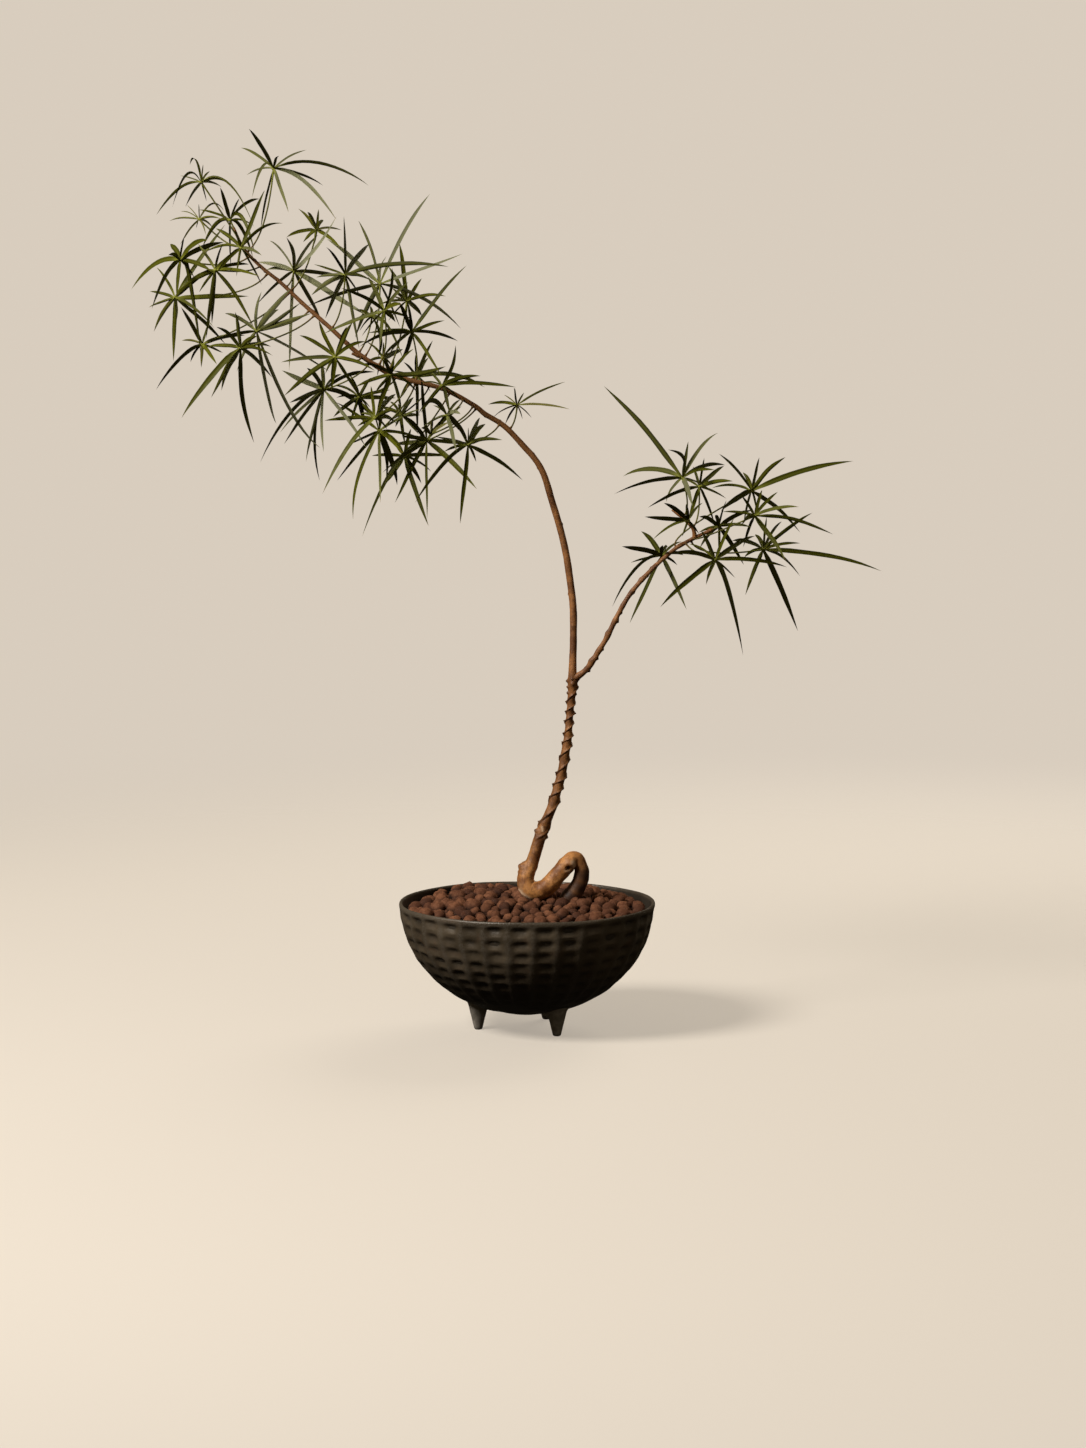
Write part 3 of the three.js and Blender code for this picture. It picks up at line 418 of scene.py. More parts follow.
# Nodes that press the dents into the wall. The mesh carries, for each point of the outer wall, how far down
# it lies (drop, in degrees), its turn around the bowl (around, in radians) and the way inward.
def dentTree(metal):
    inputs = {"Columns": float(bowl["dentColumns"]), "Rows": float(bowl["dentRows"]),
              "Depth": bowl["dentDepth"], "First dent": bowl["firstDent"], "Row step": bowl["rowStep"],
              "Turn": bowl["dentTurn"], "Seed": bowl["seed"]}
    tree, source, result = geometryTree("dents", inputs)
    seed = source["Seed"]

    def calc(operation, first, second=0.0):
        return combine(tree, operation, first, second)

    def minus(first, second):
        return calc("SUBTRACT", first, second)

    def times(*values):
        return multiply(tree, *values)

    def stray(order, cell):
        return randomValue(tree, -bowl["dentStray"], bowl["dentStray"], calc("ADD", seed, order), cell)

    turned = minus(namedValue(tree, "around"), calc("RADIANS", source["Turn"]))
    row = calc("DIVIDE", minus(namedValue(tree, "drop"), source["First dent"]), source["Row step"])
    column = times(calc("DIVIDE", turned, 2 * math.pi), source["Columns"])
    lastRow = minus(source["Rows"], 1.0)
    rowIndex = calc("MAXIMUM", calc("MINIMUM", calc("FLOOR", row), lastRow), 0.0)
    columnIndex = calc("FLOORED_MODULO", calc("FLOOR", column), source["Columns"])
    cell = calc("ADD", times(rowIndex, source["Columns"]), columnIndex)
    strength = randomValue(tree, *bowl["dentStrength"], seed, cell)
    shallow = remap(tree, minus(lastRow, rowIndex), 0.0, 2.0, 0.3, 1.0)
    share = calc("FRACT", column)
    across = calc("ADD", share, stray(1.0, cell))
    down = calc("ADD", minus(row, rowIndex), stray(2.0, cell))
    # the upper edge is an arch
    arch = calc("POWER", calc("ABSOLUTE", minus(times(across, 2.0), 1.0)), 3.0)
    down = minus(down, times(arch, bowl["dentArch"]))
    sides = times(remap(tree, across, *bowl["dentSide"]), remap(tree, minus(1.0, across), *bowl["dentSide"]))
    # a steep upper edge, then a slope that runs out to a low lip
    slope = minus(1.0, times(remap(tree, down, *bowl["dentSlope"]), bowl["dentRise"]))
    lip = calc("DIVIDE", minus(down, bowl["lipPlace"]), bowl["lipWidth"])
    lip = calc("EXPONENT", times(lip, lip, -1.0))
    levels = minus(times(remap(tree, down, *bowl["dentTop"]), slope), times(lip, bowl["dentLip"]))
    inside = times(calc("GREATER_THAN", row, 0.0), calc("LESS_THAN", row, source["Rows"]))
    dents = times(inside, sides, levels, strength, shallow)
    # the ribs stand out between the columns, a little pinched at each row
    flute = remap(tree, calc("MINIMUM", share, minus(1.0, share)), 0.0, 0.32)
    flute = times(flute, remap(tree, row, 0.0, 0.3), bowl["rib"])
    wave = minus(0.5, times(calc("COSINE", times(calc("ADD", row, 0.1), 2 * math.pi)), 0.5))
    wave = times(wave, remap(tree, row, 0.0, 0.4), bowl["pinch"])
    bottom = remap(tree, row, minus(source["Rows"], 1.2), source["Rows"], 1.0, 0.0)
    dent = calc("ADD", dents, times(calc("ADD", flute, wave), bottom))
    dent = times(dent, namedValue(tree, "outer"))
    stored = storeValue(tree, source["Geometry"], "dent", dent)
    inward = namedValue(tree, "inward", "FLOAT_VECTOR")
    pressed = movePoints(tree, stored, inward, times(dent, source["Depth"], millimetre))
    finishTree(tree, pressed, metal, result)
    return tree, inputs


def makeBowl(metal):
    columns = bowl["dentColumns"] * bowl["stepsPerColumn"]
    around = np.arange(columns) * 2 * math.pi / columns
    rowSteps = bowl["dentRows"] * bowl["stepsPerRow"]
    lastDent = bowl["firstDent"] + bowl["rowStep"] * bowl["dentRows"]
    outerDrops = np.concatenate([[0.0, 0.35, 0.7], np.linspace(bowl["firstDent"], lastDent, rowSteps + 1),
                                 np.linspace(lastDent, 89.2, 18)[1:]])
    waver = 0.35 * np.sin(3 * around + 0.7) + 0.25 * np.sin(7 * around)
    outer = []
    inward = []
    for drop in outerDrops:
        # the rim is a plain band, turned out a little at its edge
        flare = bowl["wallInset"] * (1 - smoothStep(0.0, 3.4, drop))
        hammered = noiseAt(bowlPlace(drop, around, 0.0), bowl["hammerSize"], 3.0)
        hammered = hammered * bowl["hammerDepth"] * smoothStep(0.5, 5.0, drop)
        inset = bowl["wallInset"] - flare - hammered * (drop < 88.0)
        outer.append(bowlPlace(drop, around, inset, waver * (1 - smoothStep(0, 12, drop))))
        inward.append(bowlPlace(drop, around, 1.0) - bowlPlace(drop, around, 0.0))
    lip = []
    for turn in np.linspace(0, math.pi, 9)[1:]:
        inset = bowl["wall"] / 2 * (1 - math.cos(turn))
        lip.append(bowlPlace(0.0, around, inset, waver + bowl["lipRise"] * math.sin(turn)))
    inner = []
    for drop in np.concatenate([np.linspace(0.7, 16.0, 14), [24.0, 36.0, 50.0, 64.0, 78.0, 88.0]]):
        inner.append(bowlPlace(drop, around, bowl["wall"], waver * (1 - smoothStep(0, 12, drop))))
    stack = inner[::-1] + lip[::-1] + outer
    middles = [bowlPlace(90.0, 0.0, inset)[None] for inset in (bowl["wall"], bowl["wallInset"])]
    points = np.vstack(stack + middles)
    faces = []
    for ring in range(len(stack) - 1):
        faces += bridgeRings(ring * columns, (ring + 1) * columns, columns, reverse=True)
    faces += fanAt(0, columns, len(points) - 2)
    faces += fanAt((len(stack) - 1) * columns, columns, len(points) - 1, reverse=True)
    hidden = len(inner) + len(lip)

    def eachPoint(innerValue, lipValue, outerValues, last):
        values = [innerValue] * len(inner) + [lipValue] * len(lip) + list(outerValues)
        return np.concatenate([np.repeat(values, columns), last])
    ways = np.zeros((len(points), 3))
    ways[hidden * columns:-2] = np.vstack(inward)
    values = {
        "drop": eachPoint(0.0, 0.0, outerDrops, [90.0, 90.0]),
        "around": np.concatenate([np.tile(around, len(stack)), [0.0, 0.0]]),
        "outer": eachPoint(0.0, 0.0, np.ones(len(outer)), [0.0, 0.0]),
        # painted shade: full on the inner wall, less on the lip
        "inside": eachPoint(1.0, 0.4, np.zeros(len(outer)), [1.0, 0.0]),
        "inward": ways,
    }
    return applyTree(makeObject("bowlShell", points, faces, values), *dentTree(metal))


bowlColours = {
    "dark": (0.045, 0.0325, 0.019),
    "light": (0.084, 0.063, 0.04),
    "rust": (0.078, 0.041, 0.019),
    # painted shade in the dents, darkest in their deep upper part
    "dent": (0.013, 0.0098, 0.007),
    # lighter wear on the ribs and rim, partly a painted highlight
    "wearAndHighlight": (0.11, 0.095, 0.077),
    # painted shade inside the bowl
    "inside": (0.012, 0.0095, 0.0075),
    # painted shade under the bowl
    "underside": (0.007, 0.005, 0.0035),
}


def bowlMetal():
    surface = newMaterial("bowlMetal")
    _, tree, shader = surface
    place = objectPlace(tree)
    dent = attributeOf(tree, "dent")
    broad = noiseOf(tree, place, 0.07, 3.0)
    rust = noiseOf(tree, stretched(tree, place, (1.0, 1.0, 1.6)), 0.035, 5.0, 0.62, 0.4)
    speckle = noiseOf(tree, place, 0.0016, 3.0, 0.7)
    # ribs and rim: rubbed wear and a painted highlight, speckled
    wearAndHighlight = multiply(tree, remap(tree, dent, 0.0, 0.3, 1.0, 0.0), remap(tree, speckle, 0.38, 0.66), 0.6)
    base = blendColours(tree, remap(tree, broad, 0.35, 0.68), bowlColours["dark"], bowlColours["light"])
    base = layered(tree, base, [
        (remap(tree, rust, 0.55, 0.74, 0.0, 0.55), bowlColours["rust"]),
        # painted shade: the deeper the dent, the darker
        (remap(tree, dent, 0.35, 1.05, 0.0, 0.5), bowlColours["dent"]),
        (wearAndHighlight, bowlColours["wearAndHighlight"]),
        # painted shade on the inner wall and lip
        (multiply(tree, attributeOf(tree, "inside"), 0.6), bowlColours["inside"]),
        # painted shade, darker towards the bottom of the bowl
        (remap(tree, heightOf(tree, place), 0.03, 0.115, 0.86, 0.0), bowlColours["underside"]),
    ])
    shader.inputs["Metallic"].default_value = 0.25
    grime = combine(tree, "ADD", multiply(tree, speckle, 0.4), multiply(tree, rust, 0.6))
    cast = noiseOf(tree, place, 0.0042, 4.0, 0.6)
    return finishSurface(surface, base, remap(tree, grime, 0.35, 0.7, 0.36, 0.58), 0.4,
                         [(cast, 0.5, 0.0009), (speckle, 0.35, 0.00025)])


# Feet: smooth tapered cones, cut to the curve of the bowl that they carry

foot = {
    "circle": 62.0,
    "angles": {"foot_left": -173.0, "foot_right": -53.0, "foot_back": 67.0},
    "profile": [(0.0, 0.0), (3.4, 0.0), (4.3, 0.35), (4.9, 0.9), (5.3, 1.7)],
    "wallFrom": (5.3, 1.7),
    "wallTo": (10.8, 24.0),
    "steps": 40,
    "sides": 56,
    "weld": 1.6,
    "sink": 0.9,
}


def bowlUnderside(x, y):
    share = np.clip(np.hypot(x - bowl["centreX"], y) / bowl["rimRadius"], 0.0, 0.99)
    return bowl["rimHeight"] - bowl["depth"] * np.sqrt(1 - share * share)


def makeFoot(nodeName, angleDegrees):
    angle = math.radians(angleDegrees)
    middle = np.array([bowl["centreX"] + foot["circle"] * math.cos(angle), foot["circle"] * math.sin(angle)])
    turns = np.arange(foot["sides"]) * 2 * math.pi / foot["sides"]
    rings = []
    for radius, height in foot["profile"][1:]:
        x = middle[0] + radius * np.cos(turns)
        y = middle[1] + radius * np.sin(turns)
        rings.append(np.stack([x, y, np.full(len(turns), height)], axis=-1))
    slope = (foot["wallTo"][0] - foot["wallFrom"][0]) / (foot["wallTo"][1] - foot["wallFrom"][1])
    for share in np.linspace(0, 1, foot["steps"])[1:]:
        ring = []
        for turn in turns:
            top = 30.0
            for _ in range(4):
                radius = foot["wallFrom"][0] + slope * (top - foot["wallFrom"][1]) + foot["weld"]
                spot = middle + radius * np.array([math.cos(turn), math.sin(turn)])
                top = float(bowlUnderside(*spot))
            height = foot["wallFrom"][1] + (top + foot["sink"] - foot["wallFrom"][1]) * share
            radius = foot["wallFrom"][0] + slope * (height - foot["wallFrom"][1])
            radius += foot["weld"] * smoothStep(0.82, 1.0, share) ** 2
            ring.append((middle[0] + radius * math.cos(turn), middle[1] + radius * math.sin(turn), height))
        rings.append(np.array(ring))
    points, faces = closedTube(np.array(rings))
    points[-2, 2] = 0.0
    points[-1] = (middle[0], middle[1], float(bowlUnderside(*middle)) + foot["sink"])
    wobble = noiseAt(points, 9.0, 5.0) * 0.35 * smoothStep(3.0, 9.0, points[:, 2])
    outward = points[:, :2] - middle
    points[:, :2] += outward / np.maximum(np.linalg.norm(outward, axis=1), 1.0)[:, None] * wobble[:, None]
    return makeObject(nodeName + "_cast", points, faces, sharpAngle=50)


footColours = {
    "dark": (0.17, 0.15, 0.124),
    "light": (0.29, 0.26, 0.222),
    "pitted": (0.06, 0.048, 0.037),
    # painted shade where the foot meets the floor
    "tip": (0.028, 0.022, 0.017),
}


def footMetal():
    surface = newMaterial("footMetal")
    _, tree, shader = surface
    place = objectPlace(tree)
    mottle = noiseOf(tree, place, 0.011, 5.0, 0.6, 0.3)
    fine = noiseOf(tree, place, 0.0013, 3.0, 0.65)
    base = blendColours(tree, remap(tree, mottle, 0.35, 0.68), footColours["dark"], footColours["light"])
    base = layered(tree, base, [
        (remap(tree, fine, 0.56, 0.72, 0.0, 0.45), footColours["pitted"]),
        # painted shade, darker towards the floor
        (remap(tree, heightOf(tree, place), 0.0, 0.007, 0.7, 0.0), footColours["tip"]),
    ])
    shader.inputs["Metallic"].default_value = 0.2
    return finishSurface(surface, base, remap(tree, mottle, 0.3, 0.7, 0.52, 0.7), 0.5,
                         [(mottle, 0.35, 0.0008), (fine, 0.4, 0.0002)])


# Soil: the CAD solid stays and gets its material here

soilColours = {
    "dark": (0.014, 0.0095, 0.0065),
    "light": (0.042, 0.029, 0.02),
    "grain": (0.12, 0.095, 0.07),
}


def soilEarth():
    surface = newMaterial("soilEarth")
    tree = surface[1]
    place = objectPlace(tree)
    lumps = noiseOf(tree, place, 0.006, 6.0, 0.65)
    grain = noiseOf(tree, place, 0.0011, 3.0, 0.7)
    base = blendColours(tree, remap(tree, lumps, 0.35, 0.65), soilColours["dark"], soilColours["light"])
    base = blendColours(tree, remap(tree, grain, 0.62, 0.74, 0.0, 0.5), base, soilColours["grain"])
    return finishSurface(surface, base, remap(tree, grain, 0.3, 0.7, 0.86, 0.98), 0.5,
                         [(lumps, 0.8, 0.004), (grain, 0.6, 0.0007)])


# Top dressing: two layers of fired-clay pebbles on a bed painted dark as the shade between them

pebbles = {
    "seed": 23,
    "edgeHeight": 145.5,
    "centreHeight": 158.5,
    "fieldRadius": 151.5,
    # middle x, y, height and spread of the places where they are heaped higher
    "heaps": [(-58.0, 104.0, 9.0, 50.0), (95.0, 100.0, 7.0, 52.0), (-90.0, -20.0, 2.5, 45.0)],
    "tries": 26000,
    "radii": (6.6, 10.4),
    "spacing": 0.92,
    "lift": 3.4,
    "lowTries": 9000,
    "lowRadii": (4.0, 6.2),
    "lowSpacing": 0.66,
    "lowDrop": 3.6,
    "stoneDivisions": 2,
    "stretch": (0.8, 1.1),
    "swell": 0.42,
    "swellSize": 7.0,
    "slopeRadius": 150.0,
    "bedRough": 1.6,
    "bedTaper": 0.965,
    "bedColumns": 132,
    "bedRings": 44,
    "bedRadius": 154.0,
    "bedDrop": 6.2,
    "bedBottom": 131.0,
    "woodClearance": 0.9,
    "heightStray": 1.7,
    "largeLift": 0.4,
    "edgeShare": 0.94,
}


def beddingHeight(x, y):
    share = np.minimum(np.hypot(x - bowl["centreX"], y) / pebbles["slopeRadius"], 1.0)
    height = pebbles["centreHeight"] - (pebbles["centreHeight"] - pebbles["edgeHeight"]) * share * share
    for middleX, middleY, rise, spread in pebbles["heaps"]:
        height = height + rise * np.exp(-((x - middleX) ** 2 + (y - middleY) ** 2) / spread ** 2)
    return height


def ballShape(divisions):
    ball = bmesh.new()
    bmesh.ops.create_icosphere(ball, subdivisions=divisions, radius=1.0)
    points = np.array([vertex.co[:] for vertex in ball.verts])
    faces = [tuple(vertex.index for vertex in face.verts) for face in ball.faces]
    ball.free()
    return points, faces


def scatterStones(random, tries, radii, spacing, lift, woodLine, placed):
    field = pebbles["fieldRadius"]
    for _ in range(tries):
        radius = random.uniform(*radii)
        reach = (field - radius * pebbles["edgeShare"]) * math.sqrt(random.uniform())
        turn = random.uniform(0, 2 * math.pi)
        spot = np.array([bowl["centreX"] + reach * math.cos(turn), reach * math.sin(turn)])
        height = float(beddingHeight(*spot)) + lift
        height += random.uniform(-pebbles["heightStray"], pebbles["heightStray"])
        height += (radius - radii[0]) * pebbles["largeLift"]
        centre = np.array([*spot, height])
        near = np.linalg.norm(woodLine[:, :3] - centre, axis=1) - woodLine[:, 3]
        if near.min() < radius * pebbles["woodClearance"]:
            continue
        if placed:
            others = np.array(placed)
            gaps = np.linalg.norm(others[:, :3] - centre, axis=1)
            if (gaps < (others[:, 3] + radius) * spacing).any():
                continue
        placed.append((*centre, radius))


# Nodes that put a swollen ball on each loose point of the bed; its size is the point's radius.
def stoneTree(clay):
    inputs = {"Divisions": pebbles["stoneDivisions"], "Least stretch": pebbles["stretch"][0],
              "Most stretch": pebbles["stretch"][1], "Swell": pebbles["swell"],
              "Swell size": pebbles["swellSize"], "Seed": pebbles["seed"]}
    tree, source, result = geometryTree("stones", inputs)
    radius = namedValue(tree, "radius")
    isStone = combine(tree, "GREATER_THAN", radius, 0.0)

    # three random numbers as a vector; first sets their seeds apart
    def randomVector(first, low, high, factor=1.0):
        axes = {}
        for order, axis in enumerate("XYZ"):
            seed = combine(tree, "ADD", source["Seed"], first + order)
            axes[axis] = multiply(tree, randomValue(tree, low, high, seed), factor)
        return shaderNode(tree, "ShaderNodeCombineXYZ", axes).outputs[0]

    turn = randomVector(1.0, 0.0, 2 * math.pi)
    size = randomVector(4.0, source["Least stretch"], source["Most stretch"], radius)
    ball = shaderNode(tree, "GeometryNodeMeshIcoSphere", {"Radius": millimetre,
                      "Subdivisions": source["Divisions"]}).outputs["Mesh"]
    placed = shaderNode(tree, "GeometryNodeInstanceOnPoints", {
        "Points": source["Geometry"], "Selection": isStone, "Instance": ball, "Rotation": turn,
        "Scale": size}).outputs["Instances"]
    stones = geometryStep(tree, "GeometryNodeRealizeInstances", placed)
    place = tree.nodes.new("GeometryNodeInputPosition").outputs[0]
    noiseScale = combine(tree, "DIVIDE", 1.0, multiply(tree, source["Swell size"], millimetre))
    swelling = shaderNode(tree, "ShaderNodeTexNoise", {"Vector": place, "Detail": 2.0,
                          "Scale": noiseScale}).outputs["Fac"]
    swelling = combine(tree, "SUBTRACT", swelling, 0.5)
    swelling = multiply(tree, swelling, source["Swell"], radius, 2 * millimetre)
    normal = tree.nodes.new("GeometryNodeInputNormal").outputs[0]
    stones = movePoints(tree, stones, normal, swelling)
    # painted shade: the more a stone faces down, and the lower it lies, the darker
    depth = combine(tree, "ADD", remap(tree, heightOf(tree, normal), 0.75, -0.5), namedValue(tree, "depth"))
    stones = storeValue(tree, stones, "depth", depth)
    bed = geometryStep(tree, "GeometryNodeDeleteGeometry", source["Geometry"], {"Selection": isStone},
                       domain="POINT")
    joined = tree.nodes.new("GeometryNodeJoinGeometry")
    feed(tree, joined.inputs["Geometry"], bed)
    feed(tree, joined.inputs["Geometry"], stones)
    smooth = geometryStep(tree, "GeometryNodeSetShadeSmooth", joined.outputs["Geometry"])
    finishTree(tree, smooth, clay, result)
    return tree, inputs


def makePebbles(woodLine, clay):
    random = np.random.RandomState(pebbles["seed"])
    upper = []
    scatterStones(random, pebbles["tries"], pebbles["radii"], pebbles["spacing"], pebbles["lift"],
                  woodLine, upper)
    lower = list(upper)
    scatterStones(random, pebbles["lowTries"], pebbles["lowRadii"], pebbles["lowSpacing"],
                  -pebbles["lowDrop"], woodLine, lower)
    print("stones", len(upper), len(lower) - len(upper))
    columns = pebbles["bedColumns"]
    rings = pebbles["bedRings"]
    turns = np.arange(columns) * 2 * math.pi / columns
    grid = []
    for reach in np.linspace(0, pebbles["bedRadius"], rings + 1)[1:]:
        x = bowl["centreX"] + reach * np.cos(turns)
        y = reach * np.sin(turns)
        place = np.stack([x, y, beddingHeight(x, y) - pebbles["bedDrop"]], axis=-1)
        place[:, 2] += pebbles["bedRough"] * noiseAt(place, 4.5, 9.0) * (reach < pebbles["bedRadius"] - 4)
        grid.append(place)
    low = grid[-1].copy()
    low[:, 2] = pebbles["bedBottom"]
    low[:, 0] = bowl["centreX"] + (low[:, 0] - bowl["centreX"]) * pebbles["bedTaper"]
    low[:, 1] *= pebbles["bedTaper"]
    centreTop = (bowl["centreX"], 0.0, float(beddingHeight(bowl["centreX"], 0.0)) - pebbles["bedDrop"])
    centreLow = (bowl["centreX"], 0.0, pebbles["bedBottom"])
    points = np.vstack(grid + [low, [centreTop, centreLow]])
    count = len(points)
    faces = fanAt(0, columns, count - 2)
    for ring in range(rings):
        faces += bridgeRings(ring * columns, (ring + 1) * columns, columns, reverse=True)
    faces += fanAt(rings * columns, columns, count - 1, reverse=True)
    stones = np.array(lower)
    values = {
        "radius": np.concatenate([np.zeros(count), stones[:, 3]]),
        "tone": np.concatenate([np.full(count, 0.2), random.uniform(size=len(stones))]),
        # painted shade: the bed darkest, the lower stones darker
        "depth": np.concatenate([np.full(count, 1.3), (np.arange(len(stones)) >= len(upper)) * 0.35]),
    }
    layer = makeObject("pebbleLayer", np.vstack([points, stones[:, :3]]), faces, values)
    return applyTree(layer, *stoneTree(clay))


clayColours = {
    "dark": (0.044, 0.0125, 0.0038),
    "light": (0.16, 0.062, 0.027),
    "burnt": (0.03, 0.0105, 0.0045),
    "mottle": (0.05, 0.0145, 0.005),
    "paleSpeckle": (0.29, 0.15, 0.09),
    "darkSpeckle": (0.036, 0.013, 0.0065),
    # painted shade in the gaps and on the undersides of the stones
    "gapShade": (0.007, 0.0025, 0.0015),
}


def firedClay():
    surface = newMaterial("firedClay")
    tree = surface[1]
    place = objectPlace(tree)
    tone = attributeOf(tree, "tone")
    mottle = noiseOf(tree, place, 0.0055, 5.0, 0.62)
    speckle = noiseOf(tree, place, 0.0011, 3.0, 0.7)
    evenTone = remap(tree, tone, 0.0, 1.0, smooth=False)
    base = blendColours(tree, evenTone, clayColours["dark"], clayColours["light"])
    base = layered(tree, base, [
        (remap(tree, tone, 0.0, 0.22, 0.75, 0.0), clayColours["burnt"]),
        (remap(tree, mottle, 0.36, 0.68, 0.0, 0.75), clayColours["mottle"]),
        (remap(tree, speckle, 0.58, 0.72, 0.0, 0.5), clayColours["paleSpeckle"]),
        (remap(tree, speckle, 0.3, 0.42, 0.5, 0.0), clayColours["darkSpeckle"]),
        # painted shade by depth
        (remap(tree, attributeOf(tree, "depth"), 0.0, 1.25, 0.0, 0.93), clayColours["gapShade"]),
    ])
    return finishSurface(surface, base, remap(tree, mottle, 0.3, 0.7, 0.8, 0.96), 0.25,
                         [(mottle, 0.5, 0.0016), (speckle, 0.6, 0.0004)])


# Wood: centre lines with x, y, z and radius. The first runs from the root end in the soil over the arch, down
# to the elbow on the pebbles and up the stem to the junction; the stem then runs on to the crown's left end.

baseLine = np.array([
    (73, 6, 66, 6.6), (73, 6, 95, 7.3), (73, 6, 125, 7.4), (73.5, 6, 150, 7.5), (76, 6, 163, 7.6),
    (82, 5, 172, 7.4), (88, 4, 183, 7.2), (91.5, 3, 195, 7.2), (91, 2, 206, 7.5), (86, 1, 216, 8),
    (79, -1, 216, 9.2), (71, -3, 207, 10.4), (63, -5, 198, 10.6), (55, -6, 188.5, 11), (46, -7, 180, 11.6),
    (35.5, -7, 176.5, 12), (25.5, -6, 179, 12), (21, -4, 189, 11.2), (24, -2, 200.5, 10),
    (31, -1, 217, 8.1), (38, 0, 240, 7.4), (43, 0, 254, 7), (54, 0, 281, 6.3), (60, 0, 301, 6),
    (66.5, 0, 325, 5.8), (71, 0, 351, 5.5), (74, 0, 369, 5.2), (77, 0, 404, 4.7), (79.5, 0, 430, 5.4),
    (80, 0, 441, 6.2),
], float)
stemLine = np.array([
    (80, 0, 436, 5.4), (80, 0, 457, 4.9), (81, 2, 498, 4.5), (80.5, 4, 533.5, 4.5), (76.5, 6, 569, 4.4),
    (70.5, 8, 605.5, 4.3), (63.5, 9, 634, 4.2), (54, 10, 665.5, 4.2), (44, 10, 698, 4), (33, 10, 717, 3.8),
    (18, 9, 734, 3.7), (0.5, 8, 753, 3.5), (-13, 7, 763.5, 3.3), (-29, 5, 773, 3.1), (-43, 3, 784, 3),
    (-80, -2, 804, 3), (-122, -6, 815, 3), (-149, -8, 824, 3), (-185, -8, 848, 2.9), (-218, -6, 878, 2.7),
    (-251, -2, 907, 2.5), (-280, 2, 934, 2.3), (-306, 6, 955, 2.1), (-326, 8, 976, 1.9),
    (-338, 10, 1000, 1.7),
], float)
branchLine = np.array([
    (80, 0, 444, 4.2), (91, -3, 450, 3.8), (101.5, -6, 461, 3.6), (112, -8, 478.5, 3.4),
    (122.5, -9, 496, 3.3), (136, -9, 524, 3.1), (150.5, -8, 549, 3), (168, -6, 570, 2.8),
    (185, -3, 587, 2.7), (206, 0, 605, 2.6), (220, 2, 613.5, 2.5), (237, 4, 622, 2.4), (253, 5, 629.5, 2.1),
], float)
forkLine = np.array([
    (232, 3, 620, 2.1), (229, 0, 632, 2), (216, -4, 645, 1.8), (203, -6, 655, 1.6),
], float)
sprigLine = np.array([
    (-146, -8, 823, 2.6), (-160, -14, 833, 2.2), (-178, -18, 842, 1.9), (-192, -22, 848, 1.7),
], float)

